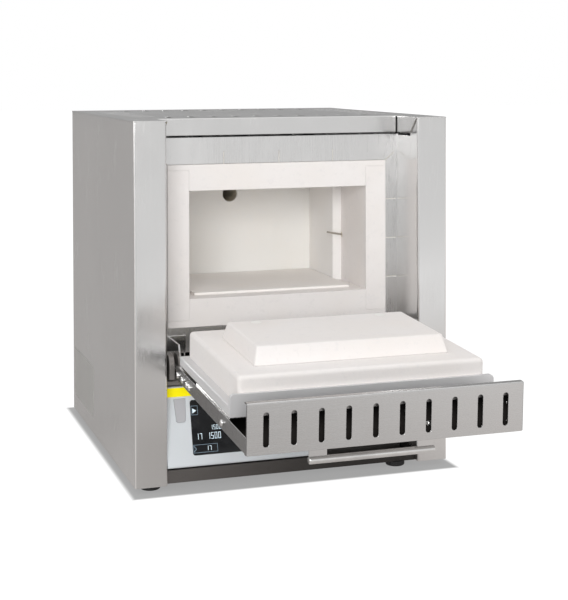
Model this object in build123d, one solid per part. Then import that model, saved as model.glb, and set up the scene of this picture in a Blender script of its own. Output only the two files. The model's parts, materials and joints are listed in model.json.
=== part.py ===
from build123d import *
import math
import os

# A bench muffle furnace with a flap door: a double-walled stainless casing with two front pillars,
# a muffle of white fibre blocks with heater plates, and a door that swings down and lies open in front.
# Millimetres. x runs across the front, y from front to back, z up.
# Everything is drawn from the pillar fronts (y = 0) and the bench (z = 0) with the door closed.
# At the end the door is swung open and the furnace is moved so that the origin lies on the bench,
# in the middle of the outline.

# Casing
casing_width = 385.0
casing_depth = 408.0
casing_height = 415.6
sheet = 1.2
bend_radius = 3.0
pillar_width = 38.2
recess_depth = 63.7
rear_flange = 14.0
lintel_height = 20.3
lintel_setback = 1.7
lintel_end_gap = 1.3
lintel_gap = 2.6
ear_foot_length = 41.7
pillar_slot_height = 3.5
pillar_slot_end = 3.0
sheet_gap = 0.3

# Ventilation slots, the same punch on the door strip, the top and the rear
slot_length = 34.0
slot_width = 6.0
slot_pitch = 28.05
slot_row_inset = 45.0

# Feet and base
foot_height = 6.0
foot_diameter = 23.0
foot_left_inset = 21.5
foot_right_inset = 60.5
foot_inset = 18.0
base_front_y = 9.0
base_flange = 15.0

# Collar sheet round the muffle mouth
collar_rise = 24.0
relief_slit = 14.4
relief_slit_width = 1.2
corner_slit_angle = 39.0
muffle_clearance = 0.4

# Inner casing and its stands
air_gap = 21.3
service_depth = 72.1
stand_width = 30.0
stand_inset = 60.0

# Insulation boards and muffle blocks
roof_board = 32.1
floor_board = 29.5
rear_board = 43.7
roof_block = 31.3
floor_block = 33.5
rear_wall = 50.0
muffle_wall = 26.2
mouth_inset = 42.0
muffle_proud = 1.0
roof_end_thickness = 6.8
floor_end_thickness = 8.0

# Heater plates and hearth
heater_thickness = 11.6
heater_share = 0.49
heater_pocket = 5.6
heater_wire = 5.0
heater_margin = 16.0
heater_pitch = 19.3
heater_bend_share = 0.45
heater_lead = 35.1
hearth_thickness = 2.9
hearth_front_gap = 25.0
hearth_gap = 1.0
wire_clearance = 0.3

# Thermocouple
probe_diameter = 2.4
probe_share = 0.456
probe_gap = 2.0
probe_reach = 20.0
probe_rise = 3.9
probe_bend = 6.0
probe_tube = 6.6
probe_head = 16.0

# Exhaust
exhaust_x = -11.0
exhaust_drop = 21.6
exhaust_bore = 20.0
exhaust_wall = 3.0
exhaust_overhang = 12.0
spigot_diameter = 34.0
spigot_wall = 1.5
spigot_length = 36.0
spigot_flange = 64.0
fit = 0.1
overcut = 1.0

# Door, measured from its outer face (v, inwards) and its hinge end (u, upwards)
door_face_y = 3.6
door_rise = 5.8
door_side_gap = 8.5
door_overlap = 9.3
door_end_gap = 5.5
door_flange = 16.6
strip_setback = 13.0
strip_lip = 7.0
strip_slot_start = 7.0
door_open_angle = 93.0

# Hinge
pivot_u = -12.5
pivot_v = 8.45
pin_diameter = 6.0
pin_clearance = 0.05
pin_head = 10.0
pin_head_thickness = 2.0
arm_thickness = 3.0
arm_length = 80.0
arm_side_clearance = 0.3
clevis_inside = 6.3
clevis_outside = 6.2
clevis_front_y = 0.0
clevis_drop = 22.8
clevis_height = 27.0
clevis_depth = 27.0
clevis_web = 5.0
clevis_round = 11.5
bracket_thickness = 2.0
bracket_front_y = -3.5
bracket_height = 37.5
bracket_slope_y = 10.0
bracket_nose_height = 10.0
bracket_foot = 22.0

# Door tray and fibre
tray_v = 18.8
tray_gap = 0.3
tray_start = 16.5
tray_edge = 4.2
tray_side = 10.8
tray_front = 23.0
tray_corner = 5.0
slab_margin = 9.5
slab_start_gap = 2.4
slab_cover = 2.5
slab_gap = 0.5
slab_round = 4.5
plug_height = 18.9
plug_side_gap = 4.1
plug_low_gap = 3.0
plug_high_gap = 2.2
plug_side_draft = 4.5
plug_low_draft = 4.6
plug_high_draft = 7.3
plug_round = 2.5
cap_diameter = 12.0
cap_depth = 5.0
cap_side_inset = 30.7
cap_inset = 9.0
stud_diameter = 5.0
stud_head = 9.0
stud_head_thickness = 2.0
tray_bracket_gap = 10.0
tray_bracket_width = 20.0
tray_bracket_sheet = 1.2

# Door screws on the side flanges
screw_first = 17.0
screw_second = 38.0
screw_step = 11.0
tray_screw_inset = 19.5
screw_diameter = 4.0
screw_head = 7.0
screw_head_height = 2.6
screw_head_round = 1.6
screw_end = 1.0
nut_thickness = 3.0
nut_width = 7.0

# Handle
handle_inset = 42.4
handle_reach = 24.6
handle_diameter = 8.0
handle_length = 136.0
handle_leg = 19.0
handle_sheet = 2.0
handle_foot = 14.0
handle_web = 4.0

# Control housing, leaning back
panel_bottom = 18.5
panel_top = 107.0
panel_lean_depth = 24.5
panel_right = 16.0
housing_wall = 2.5
housing_depth = 50.0
accent_height = 10.0
accent_thickness = 0.5
display_left_margin = 30.4
display_right_margin = 29.6
display_top_margin = 16.6
display_rise = 13.2
display_thickness = 2.0
glass_gap = 0.25
module_depth = 8.0
flap_top_margin = 14.1
flap_left_margin = 11.4
flap_height = 26.5
flap_width = 13.7
flap_taper = 2.0
flap_thickness = 1.6
socket_width = 9.0
socket_height = 17.0
socket_depth = 16.0
socket_drop = 1.0

# Fascia with the mains switch, sill and bulkhead
fascia_y = 30.0
switch_inset = 54.3
switch_z = 60.0
switch_width = 22.0
switch_height = 30.0
switch_bezel = 3.0
switch_depth = 20.0
rocker_depth = 7.5
rocker_gap = 0.5
rocker_tilt = 9.0
sill_rise = 7.0
sill_lip = 5.0
sill_depth = 90.0
bulkhead_hole = 40.0

# Electrics on the base
board_thickness = 1.6
board_standoff = 6.0
relay_width = 45.0
relay_depth = 60.0
relay_height = 28.0
heatsink_fins = 7
heatsink_depth = 24.0
heatsink_plate = 4.8
heatsink_fin = 2.4
terminal_width = 70.0
terminal_depth = 22.0
terminal_height = 26.0
terminal_poles = 6
inlet_width = 48.0
inlet_height = 28.0
inlet_depth = 24.0
inlet_wall = 2.5
inlet_pin = 2.0
inlet_z = 60.0
inlet_inset = 72.5
rear_screw = 3.9
rear_screw_head = 7.0
rear_screw_inset = 33.2

# Sizes that follow: heights, from the controls up to the top
base_z = foot_height
top_z = base_z + casing_height
sill_height = panel_top + sill_rise
collar_bottom = sill_height + collar_rise
collar_top = casing_height - lintel_height - lintel_gap
muffle_bottom = collar_bottom + floor_board
muffle_top = collar_top - roof_board
opening_bottom = muffle_bottom + floor_block
opening_top = muffle_top - roof_block
relief_pitch_z = (muffle_top - muffle_bottom) / 4
hearth_top = base_z + opening_bottom + hearth_thickness
probe_height = opening_bottom + probe_share * (opening_top - opening_bottom)
exhaust_z = opening_top - exhaust_drop

# Sizes that follow: widths
half_width = casing_width / 2
pillar_inner = half_width - pillar_width
inner_half = half_width - sheet - air_gap
opening_width = 2 * (pillar_inner - mouth_inset)
muffle_width = opening_width + 2 * muffle_wall
relief_pitch_x = muffle_width / 4
stand_spacing = 2 * (inner_half - stand_inset)
inlet_x = -half_width + inlet_inset
foot_left_x = -half_width + foot_left_inset
foot_right_x = half_width - foot_right_inset

# Sizes that follow: depths
collar_front = recess_depth
collar_back = recess_depth + sheet
muffle_front = recess_depth - muffle_proud
inner_back = casing_depth - service_depth
inner_depth = inner_back - collar_back
muffle_back = inner_back - sheet - rear_board
chamber_back = muffle_back - rear_wall
chamber_depth = chamber_back - muffle_front
heater_setback = heater_share * chamber_depth
probe_setback = heater_setback - probe_gap

# Sizes that follow: door
door_start = collar_bottom + door_rise
door_width = 2 * (pillar_inner - door_side_gap)
door_length = casing_height + door_overlap - door_start
door_strip = recess_depth - strip_setback
door_half = door_width / 2
flange_inner = door_half - sheet
tray_width = 2 * (flange_inner - tray_gap)
slab_width = tray_width - 2 * slab_margin
slab_start = tray_start + slab_start_gap
slab_end = muffle_top - door_start - slab_cover
tray_end = slab_end + tray_edge
slab_v = muffle_front - door_face_y - slab_gap
plug_v = slab_v + plug_height
plug_base_width = opening_width - 2 * plug_side_gap
plug_top_width = plug_base_width - 2 * plug_side_draft
plug_base_start = opening_bottom - door_start + plug_low_gap
plug_base_end = opening_top - door_start - plug_high_gap
plug_top_start = plug_base_start + plug_low_draft
plug_top_end = plug_base_end - plug_high_draft
cap_x = plug_top_width / 2 - cap_side_inset
screw_last = arm_length - screw_step
screw_stations = (screw_first, screw_second, screw_last - screw_step, screw_last)
tray_screw_station = tray_end - tray_screw_inset
tray_bracket_start = arm_length + tray_bracket_gap
handle_u = door_length - handle_inset
slots_in_row = int(door_width / slot_pitch)
slots_in_column = 1 + int((casing_depth - recess_depth - 2 * slot_row_inset - slot_length) / slot_pitch)

# Sizes that follow: hinge
pivot_y = door_face_y + pivot_v
pivot_z = base_z + door_start + pivot_u
arm_half = pivot_v - sheet
clevis_inner = door_half - clevis_inside
clevis_outer = door_half + clevis_outside
clevis_bottom = door_start - clevis_drop
clevis_top = clevis_bottom + clevis_height
bracket_top = clevis_bottom + bracket_height

# Sizes that follow: controls
lean = math.atan2(panel_lean_depth, panel_top - panel_bottom)
panel_slope = math.hypot(panel_lean_depth, panel_top - panel_bottom)
housing_left = -pillar_inner + sheet_gap
display_left = housing_left + display_left_margin
display_width = panel_right - display_right_margin - display_left
display_height = panel_slope - display_rise - display_top_margin
flap_left = housing_left + flap_left_margin
flap_top = panel_slope - flap_top_margin
switch_x = pillar_inner - switch_inset
panel_face = Plane(
    origin=(0, 0, base_z + panel_bottom),
    x_dir=(1, 0, 0),
    z_dir=(0, -math.cos(lean), math.sin(lean)),
)
hinge_axis = Axis((0, pivot_y, pivot_z), (1, 0, 0))


def block(x_range, y_range, z_range):
    """A plain board between three pairs of coordinates."""
    size = [high - low for low, high in (x_range, y_range, z_range)]
    middle = [(high + low) / 2 for low, high in (x_range, y_range, z_range)]
    return Pos(*middle) * Box(*size)


def both(half):
    """A range that lies evenly about zero."""
    return (-half, half)


def bent_sheet(points, thickness, radius):
    """The section of a folded sheet: the points run along its outside, the metal lies to their left."""
    path = FilletPolyline(*points, radius=radius)
    return make_face(offset(path, amount=thickness, side=Side.LEFT, closed=True))


def along_x(section, x_range):
    """A section drawn as (y, z), drawn out along x."""
    plane = Plane(origin=(x_range[0], 0, 0), x_dir=(0, 1, 0), z_dir=(1, 0, 0))
    return extrude(plane * section, x_range[1] - x_range[0])


def along_z(section, z_range):
    """A section drawn as (x, y), drawn out along z."""
    return extrude(Pos(0, 0, z_range[0]) * section, z_range[1] - z_range[0])


def rod_x(diameter, x_range, y, z):
    """A round bar along x."""
    length = x_range[1] - x_range[0]
    return Pos(sum(x_range) / 2, y, z) * Rot(0, 90, 0) * Cylinder(diameter / 2, length)


def rod_y(diameter, x, y_range, z):
    """A round bar along y."""
    length = y_range[1] - y_range[0]
    return Pos(x, sum(y_range) / 2, z) * Rot(90, 0, 0) * Cylinder(diameter / 2, length)


def mirrored(part):
    """The same part on the other side of the furnace."""
    return mirror(part, about=Plane.YZ)


def pair(part):
    """A part and its mirror image, as one group of two solids."""
    return Compound([part, mirrored(part)])


def slot_row(count, pitch):
    """Places of a row of slots, evenly about zero."""
    return [pitch * (index - (count - 1) / 2) for index in range(count)]


def left_side_panel():
    """Side wall, folded round the front into the pillar and back to the collar."""
    outline = [
        (-half_width + rear_flange, casing_depth - sheet),
        (-half_width, casing_depth - sheet),
        (-half_width, 0),
        (-pillar_inner, 0),
        (-pillar_inner, recess_depth),
    ]
    panel = along_z(bent_sheet(outline, sheet, bend_radius), (base_z, top_z - sheet))
    slot_z = top_z - lintel_height
    slot = block(
        (-pillar_inner - 2 * sheet, -pillar_inner + sheet),
        (recess_depth - ear_foot_length, recess_depth - pillar_slot_end),
        (slot_z - pillar_slot_height, slot_z),
    )
    return panel - slot - flange_screw_threads()


def flange_screw_threads():
    """Holes in the rear flange for the screws of the rear panel."""
    y_range = (casing_depth - 4 * sheet, casing_depth)
    return [rod_y(rear_screw + 2 * fit, x, y_range, z) for x, z in rear_screw_places() if x < 0]


def top_panel():
    """Top sheet with its ring of slots, the lintel folded down between the pillars and two ears."""
    sheet_z = (top_z - sheet, top_z)
    ear_inner = pillar_inner - sheet
    top = block(both(half_width), (recess_depth, casing_depth), sheet_z)
    tongue = block((ear_inner, half_width), (0, recess_depth), sheet_z)
    tongue = fillet(tongue.edges().filter_by(Axis.Z).sort_by(Axis.Y)[0:2], bend_radius / 2)
    ear_outline = Polyline(
        (0.5 * bend_radius, top_z - sheet),
        (recess_depth - ear_foot_length, top_z - lintel_height),
        (recess_depth, top_z - lintel_height),
        (recess_depth, top_z - sheet),
        close=True,
    )
    ear = along_x(make_face(ear_outline), (ear_inner, pillar_inner))
    lintel_y = recess_depth - lintel_setback
    lintel_path = [
        (recess_depth + bend_radius, top_z),
        (lintel_y, top_z),
        (lintel_y, top_z - lintel_height),
    ]
    lintel_half = ear_inner - lintel_end_gap
    lintel = along_x(bent_sheet(lintel_path, sheet, bend_radius / 2), both(lintel_half))
    side = tongue + ear
    return top + lintel + side + mirrored(side) - top_slots()


def top_slots():
    """The ring of slots: rows at the front and rear, columns at the sides."""
    cutter = extrude(SlotOverall(slot_length, slot_width), 4 * sheet)
    lower = top_z - 3 * sheet
    front = recess_depth + slot_row_inset
    rear = casing_depth - slot_row_inset
    side = half_width - slot_row_inset + slot_width
    cuts = []
    for x in slot_row(slots_in_row, slot_pitch):
        cuts.append(Pos(x, rear, lower) * Rot(0, 0, 90) * cutter)
        cuts.append(Pos(x, front, lower) * Rot(0, 0, 90) * cutter)
    for y in slot_row(slots_in_column, slot_pitch):
        for x in (-side, side):
            cuts.append(Pos(x, (front + rear) / 2, lower) * Pos(0, y, 0) * cutter)
    return cuts


def base_pan():
    """Floor pan: it steps in between the pillars, with flanges turned up all round."""
    front_half = pillar_inner - sheet_gap
    rear_half = half_width - sheet
    outline = Polyline(
        (-front_half, base_front_y),
        (front_half, base_front_y),
        (front_half, recess_depth + sheet_gap),
        (rear_half, recess_depth + sheet_gap),
        (rear_half, casing_depth - 2 * sheet),
        (-rear_half, casing_depth - 2 * sheet),
        (-rear_half, recess_depth + sheet_gap),
        (-front_half, recess_depth + sheet_gap),
        close=True,
    )
    face = make_face(outline)
    face = fillet(face.vertices().group_by(Axis.Y)[-1], bend_radius)
    inner = offset(face, -sheet, kind=Kind.INTERSECTION)
    pan = along_z(face, (base_z, base_z + base_flange))
    pan -= along_z(inner, (base_z + sheet, base_z + base_flange + sheet))
    return pan


def foot_places():
    """Where the four feet stand."""
    return [(x, y) for x in (foot_left_x, foot_right_x) for y in (foot_inset, casing_depth - foot_inset)]


def foot():
    """A rubber foot: a low turned button."""
    button = Pos(0, 0, foot_height / 2) * Cylinder(foot_diameter / 2, foot_height)
    return fillet(button.edges().sort_by(Axis.Z)[0], foot_height / 3)


def pillar_foot_plate():
    """Closes the bottom of a pillar and carries the foot."""
    outer = -half_width + sheet
    inner = -pillar_inner - sheet
    plate = block((outer, inner), (sheet, recess_depth), (base_z, base_z + sheet))
    return fillet(plate.edges().filter_by(Axis.Z).group_by(Axis.Y)[0], bend_radius)


def front_collar():
    """The flat sheet round the muffle mouth, with relief slits that let it grow when hot."""
    z_range = (base_z + collar_bottom, base_z + collar_top)
    collar = block(both(inner_half), (collar_front, collar_back), z_range)
    mouth_half = muffle_width / 2 + muffle_clearance
    mouth_bottom = base_z + muffle_bottom - muffle_clearance
    mouth_top = base_z + muffle_top + muffle_clearance
    collar -= block(both(mouth_half), (0, casing_depth), (mouth_bottom, mouth_top))
    slit_y = (0, collar_back + sheet)
    half = relief_slit_width / 2
    slits = []
    for x in (-relief_pitch_x, 0, relief_pitch_x):
        slits.append(block((x - half, x + half), slit_y, (mouth_top - overcut, mouth_top + relief_slit)))
    middle = (mouth_bottom + mouth_top) / 2
    for z in (middle - relief_pitch_z, middle, middle + relief_pitch_z):
        for side in (-1, 1):
            ends = sorted((side * (mouth_half - overcut), side * (mouth_half + relief_slit)))
            slits.append(block(tuple(ends), slit_y, (z - half, z + half)))
    for side in (-1, 1):
        corner = Pos(side * mouth_half, recess_depth, mouth_top) * Rot(0, -side * corner_slit_angle, 0)
        slits.append(corner * Box(2 * relief_slit, 4 * sheet, relief_slit_width))
    return collar - slits


def inner_casing():
    """The folded box that holds the insulation, open to the front behind the collar."""
    z_range = (base_z + collar_bottom, base_z + collar_top)
    shell = block(both(inner_half), (collar_back, inner_back), z_range)
    hollow_z = (z_range[0] + sheet, z_range[1] - sheet)
    shell -= block(both(inner_half - sheet), (0, inner_back - sheet), hollow_z)
    tube = exhaust_bore + 2 * exhaust_wall + 2 * fit
    shell -= rod_y(tube, exhaust_x, (inner_back - 5 * sheet, inner_back + sheet), base_z + exhaust_z)
    shell -= probe_hole()
    for side in (-1, 1):
        shell -= lead_holes(side)
    return shell


def probe_hole():
    """The way of the thermocouple tube through the right wall."""
    y = muffle_front + probe_setback
    x_range = (opening_width / 2 - overcut, half_width - sheet)
    return rod_x(probe_tube + 2 * fit, x_range, y, base_z + probe_height)


def lead_heights():
    """Heights of the first and the last pass of a heating wire."""
    low = base_z + opening_bottom + heater_margin
    high = base_z + opening_top - heater_margin
    return low, high


def heater_wire_x():
    """Distance of the heating wire from the middle of the chamber."""
    return opening_width / 2 - heater_pocket / 2


def lead_holes(side):
    """Holes for the two leads of one heating wire, through everything behind the chamber."""
    bore = heater_wire + 2 * wire_clearance
    y_range = (chamber_back - overcut, inner_back + sheet)
    x = side * heater_wire_x()
    return [rod_y(bore, x, y_range, z) for z in lead_heights()]


def muffle_roof():
    """Top block of the muffle, stepped over the side blocks."""
    half = muffle_width / 2
    mouth = opening_width / 2
    step = base_z + muffle_top - roof_end_thickness
    top = base_z + muffle_top
    low = base_z + opening_top
    outline = Polyline(
        (-mouth, low), (mouth, low), (mouth, step), (half, step),
        (half, top), (-half, top), (-half, step), (-mouth, step),
        close=True,
    )
    return muffle_block(outline)


def muffle_floor():
    """Bottom block of the muffle, stepped under the side blocks."""
    half = muffle_width / 2
    mouth = opening_width / 2
    step = base_z + muffle_bottom + floor_end_thickness
    low = base_z + muffle_bottom
    top = base_z + opening_bottom
    outline = Polyline(
        (-half, low), (half, low), (half, step), (mouth, step),
        (mouth, top), (-mouth, top), (-mouth, step), (-half, step),
        close=True,
    )
    return muffle_block(outline)


def muffle_block(outline):
    """A muffle block drawn out from the mouth to the back of the chamber, from an (x, z) outline."""
    plane = Plane(origin=(0, chamber_back, 0), x_dir=(1, 0, 0), z_dir=(0, -1, 0))
    return extrude(plane * make_face(outline), chamber_depth)


def muffle_left_wall():
    """Left side block of the muffle."""
    half = muffle_width / 2
    z_range = (
        base_z + muffle_bottom + floor_end_thickness,
        base_z + muffle_top - roof_end_thickness,
    )
    return block((-half, -opening_width / 2), (muffle_front, chamber_back), z_range)


def muffle_rear_wall():
    """Rear block with the exhaust bore and the holes for the heater leads."""
    z_range = (base_z + muffle_bottom, base_z + muffle_top)
    wall = block(both(muffle_width / 2), (chamber_back, muffle_back), z_range)
    wall -= exhaust_steps()
    for side in (-1, 1):
        wall -= lead_holes(side)
    return wall


def exhaust_steps():
    """The bore in the rear block: chamber side as wide as the tube's bore, then the tube's seat."""
    z = base_z + exhaust_z
    seat = exhaust_bore + 2 * exhaust_wall + 2 * fit
    mouth = rod_y(exhaust_bore, exhaust_x, (chamber_back - overcut, muffle_back), z)
    return mouth + rod_y(seat, exhaust_x, (chamber_back + exhaust_wall, muffle_back + overcut), z)


def backup_boards():
    """The cooler insulation boards between the muffle and the inner casing, by name."""
    half = muffle_width / 2
    outer = inner_half - sheet
    low = base_z + collar_bottom + sheet
    high = base_z + collar_top - sheet
    muffle_low = base_z + muffle_bottom
    muffle_high = base_z + muffle_top
    y_range = (collar_back, inner_back - sheet)
    left = block((-outer, -half), y_range, (muffle_low, muffle_high))
    rear = block(both(half), (muffle_back, inner_back - sheet), (muffle_low, muffle_high))
    seat = exhaust_bore + 2 * exhaust_wall + 2 * fit
    rear -= rod_y(seat, exhaust_x, (muffle_back - overcut, inner_back), base_z + exhaust_z)
    for side in (-1, 1):
        rear -= lead_holes(side)
    return {
        "backup_board_top": block(both(outer), y_range, (muffle_high, high)),
        "backup_board_bottom": block(both(outer), y_range, (low, muffle_low)),
        "backup_board_left": left,
        "backup_board_right": mirrored(left) - probe_hole(),
        "backup_board_rear": rear,
    }


def muffle_stand():
    """A folded channel that carries the inner casing on the floor pan."""
    x = stand_spacing / 2
    low = base_z + sheet
    high = base_z + collar_bottom
    outline = [
        (x + stand_width, high), (x, high), (x, low), (x + stand_width, low),
    ]
    section = bent_sheet(outline, sheet, bend_radius)
    plane = Plane(origin=(0, inner_back, 0), x_dir=(1, 0, 0), z_dir=(0, -1, 0))
    return extrude(plane * section, inner_depth - stand_width)


def heater_plate_left():
    """Left heater plate with the pocket behind it for the heating wire."""
    outer = -opening_width / 2
    y_range = (muffle_front + heater_setback, chamber_back)
    z_range = (base_z + opening_bottom, base_z + opening_top)
    plate = block((outer, outer + heater_thickness), y_range, z_range)
    margin = heater_margin / 2
    pocket = block(
        (outer, outer + heater_pocket),
        (y_range[0] + margin, y_range[1]),
        (z_range[0] + margin, z_range[1] - margin),
    )
    return plate - pocket


def heating_wire_left():
    """The heating wire: passes up the pocket, with its two ends led out through the rear."""
    low, high = lead_heights()
    front = muffle_front + heater_setback + heater_margin
    turn = chamber_back - heater_margin
    passes = 2 * round(((high - low) / heater_pitch + 1) / 2)
    pitch = (high - low) / (passes - 1)
    points = [(inner_back + heater_lead, low)]
    for index in range(passes):
        z = low + pitch * index
        ends = (turn, front) if index % 2 == 0 else (front, turn)
        points += [(ends[0], z), (ends[1], z)]
    points = [points[0]] + points[2:-1] + [(inner_back + heater_lead, high)]
    plane = Plane(origin=(-heater_wire_x(), 0, 0), x_dir=(0, 1, 0), z_dir=(1, 0, 0))
    path = plane * FilletPolyline(*points, radius=pitch * heater_bend_share)
    start = Plane(origin=path @ 0, z_dir=path % 0)
    return sweep(start * Circle(heater_wire / 2), path=path)


def heater_terminal_left():
    """Ceramic terminal at the rear of the inner casing that takes both ends of one heating wire."""
    low, high = lead_heights()
    x = -heater_wire_x()
    width = 4 * heater_wire
    y_range = (inner_back, inner_back + heater_lead + heater_wire)
    body = block((x - width / 2, x + width / 2), y_range, (low - width / 2, high + width / 2))
    bore = heater_wire + 2 * fit
    for z in (low, high):
        body -= rod_y(bore, x, (inner_back - overcut, inner_back + heater_lead), z)
    return body


def hearth_plate():
    """Thin plate on the chamber floor between the heater plates."""
    half = opening_width / 2 - heater_thickness - hearth_gap
    y_range = (muffle_front + hearth_front_gap, chamber_back - hearth_gap)
    return block(both(half), y_range, (base_z + opening_bottom, hearth_top))


def thermocouple():
    """Bare probe: straight through the wall, then bent a little upwards in the chamber."""
    y = muffle_front + probe_setback
    z = base_z + probe_height
    wall = opening_width / 2
    plane = Plane(origin=(0, y, 0), x_dir=(1, 0, 0), z_dir=(0, -1, 0))
    points = [(inner_half + sheet, z), (wall, z), (wall - probe_reach, z + probe_rise)]
    path = plane * FilletPolyline(*points, radius=probe_bend)
    start = Plane(origin=path @ 0, z_dir=path % 0)
    return sweep(start * Circle(probe_diameter / 2), path=path)


def thermocouple_tube():
    """Ceramic tube that carries the probe through the insulation."""
    y = muffle_front + probe_setback
    z = base_z + probe_height
    x_range = (opening_width / 2, inner_half)
    tube = rod_x(probe_tube, x_range, y, z)
    return tube - rod_x(probe_diameter + 2 * wire_clearance, (0, half_width), y, z)


def thermocouple_head():
    """Terminal block of the thermocouple on the side of the inner casing."""
    y = muffle_front + probe_setback
    z = base_z + probe_height
    half = probe_head / 2
    head = block((inner_half, inner_half + probe_head), (y - half, y + half), (z - half, z + half))
    return head - rod_x(probe_diameter + 2 * fit, (0, inner_half + sheet), y, z)


def exhaust_tube():
    """Ceramic tube from the chamber to the outside."""
    z = base_z + exhaust_z
    y_range = (chamber_back + exhaust_wall, casing_depth + exhaust_overhang)
    tube = rod_y(exhaust_bore + 2 * exhaust_wall, exhaust_x, y_range, z)
    return tube - rod_y(exhaust_bore, exhaust_x, (0, 2 * casing_depth), z)


def exhaust_spigot():
    """Flanged stainless spigot on the rear panel that an exhaust pipe slips over."""
    z = base_z + exhaust_z
    flange = rod_y(spigot_flange, exhaust_x, (casing_depth, casing_depth + spigot_wall), z)
    pipe = rod_y(spigot_diameter, exhaust_x, (casing_depth, casing_depth + spigot_length), z)
    bore = spigot_diameter - 2 * spigot_wall
    return flange + pipe - rod_y(bore, exhaust_x, (0, 2 * casing_depth), z)


def rear_panel():
    """Flat rear sheet with the exhaust hole, the inlet cut-out and a row of slots."""
    edge = bend_radius
    panel = block(
        both(half_width - edge),
        (casing_depth - sheet, casing_depth),
        (base_z + sheet, top_z - sheet),
    )
    y_range = (casing_depth - 3 * sheet, casing_depth + sheet)
    panel -= rod_y(spigot_diameter - 2 * spigot_wall, exhaust_x, y_range, base_z + exhaust_z)
    half = inlet_width / 2
    half_high = inlet_height / 2
    z = base_z + inlet_z
    panel -= block((inlet_x - half, inlet_x + half), y_range, (z - half_high, z + half_high))
    cutter = Rot(90, 0, 0) * extrude(SlotOverall(slot_length, slot_width, rotation=90), 4 * sheet)
    for x in slot_row(slots_in_row, slot_pitch)[slots_in_row // 2:]:
        panel -= Pos(x, casing_depth + sheet, base_z + inlet_z) * cutter
    for x, z in rear_screw_places():
        panel -= rod_y(rear_screw + 2 * fit, x, y_range, z)
    return panel


def rear_screw_places():
    """Screws that hold the rear panel to the flanges of the side panels."""
    x = half_width - rear_flange / 2 - sheet
    low = base_z + rear_screw_inset
    high = top_z - rear_screw_inset
    return [(side * x, z) for side in (-1, 1) for z in (low, (low + high) / 2, high)]


def rear_screws():
    """Pan-head screws through the rear panel."""
    screws = []
    for x, z in rear_screw_places():
        head = rod_y(rear_screw_head, x, (casing_depth, casing_depth + screw_head_height), z)
        shank = rod_y(rear_screw, x, (casing_depth - 2 * sheet, casing_depth + sheet), z)
        screws.append(head + shank)
    return Compound(screws)


def at_door(u, v):
    """The (y, z) of a point on the closed door, from its outer face and its hinge end."""
    return (door_face_y + v, base_z + door_start + u)


def door_board(w_range, u_range, v_range):
    """A board on the closed door."""
    y_low, z_low = at_door(u_range[0], v_range[0])
    y_high, z_high = at_door(u_range[1], v_range[1])
    return block(w_range, (y_low, y_high), (z_low, z_high))


def door_outer_panel():
    """Outer door sheet: a shallow pan with side flanges, and the deep slotted strip at its far end."""
    pan = door_board(both(door_half), (door_end_gap, door_length), (0, door_flange))
    outer_edges = pan.edges().filter_by(Axis.Z).group_by(Axis.Y)[0]
    pan = fillet(outer_edges, bend_radius / 2)
    hollow = door_board(
        both(flange_inner), (0, door_length - sheet), (sheet, door_flange + overcut)
    )
    strip_path = [
        at_door(door_length - 2 * bend_radius, 0),
        at_door(door_length, 0),
        at_door(door_length, door_strip),
        at_door(door_length - strip_lip, door_strip),
    ]
    strip = along_x(bent_sheet(strip_path[::-1], sheet, bend_radius / 2), both(door_half))
    panel = pan - hollow + strip
    cutter = extrude(SlotOverall(slot_length, slot_width, rotation=90), 4 * sheet)
    y, z = at_door(door_length - 2 * sheet, strip_slot_start + slot_length / 2)
    for x in slot_row(slots_in_row, slot_pitch):
        panel -= Pos(x, y, z) * cutter
    for side in (-1, 1):
        panel -= flange_screw_holes(side, screw_stations + (tray_screw_station,))
    return panel


def flange_screw_holes(side, stations):
    """Clearance holes through a side flange and what is screwed to it."""
    holes = []
    for u in stations:
        y, z = at_door(u, pivot_v)
        x_range = (side * (flange_inner - 2 * arm_thickness), side * (door_half + overcut))
        holes.append(rod_x(screw_diameter + 2 * fit, tuple(sorted(x_range)), y, z))
    return holes


def hinge_arm_left():
    """Flat arm inside the side flange, with the eye for the hinge pin."""
    x_range = (-flange_inner, -flange_inner + arm_thickness)
    y, z = at_door(arm_length, pivot_v)
    bar = block(x_range, (pivot_y - arm_half, pivot_y + arm_half), (pivot_z, z))
    eye = rod_x(2 * arm_half, x_range, pivot_y, pivot_z)
    arm = bar + eye
    arm = fillet(arm.edges().filter_by(Axis.X).sort_by(Axis.Z)[-2:], arm_half / 2)
    arm -= rod_x(pin_diameter + 2 * pin_clearance, x_range, pivot_y, pivot_z)
    return arm - flange_screw_holes(-1, screw_stations)


def dome_screw(u, length):
    """A shiny domed screw with its head on the outside of the left side flange."""
    y, z = at_door(u, pivot_v)
    head = rod_x(screw_head, (-door_half - screw_head_height, -door_half), y, z)
    head = fillet(head.edges().sort_by(Axis.X)[0], screw_head_round)
    return head + rod_x(screw_diameter, (-door_half - screw_head_height / 2, -door_half + length), y, z)


def door_screws():
    """The screws of both side flanges: four into each hinge arm, one with a nut for the tray bracket."""
    screws = [dome_screw(u, sheet + arm_thickness + screw_end) for u in screw_stations]
    nut_seat = flange_inner - tray_bracket_sheet
    last = dome_screw(tray_screw_station, door_half - nut_seat + nut_thickness)
    y, z = at_door(tray_screw_station, pivot_v)
    plane = Plane(origin=(-nut_seat, y, z), x_dir=(0, 1, 0), z_dir=(1, 0, 0))
    nut = extrude(plane * RegularPolygon(nut_width / 2, 6, major_radius=False), nut_thickness)
    screws.append(last + nut)
    return Compound(screws + [mirrored(screw) for screw in screws])


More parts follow.
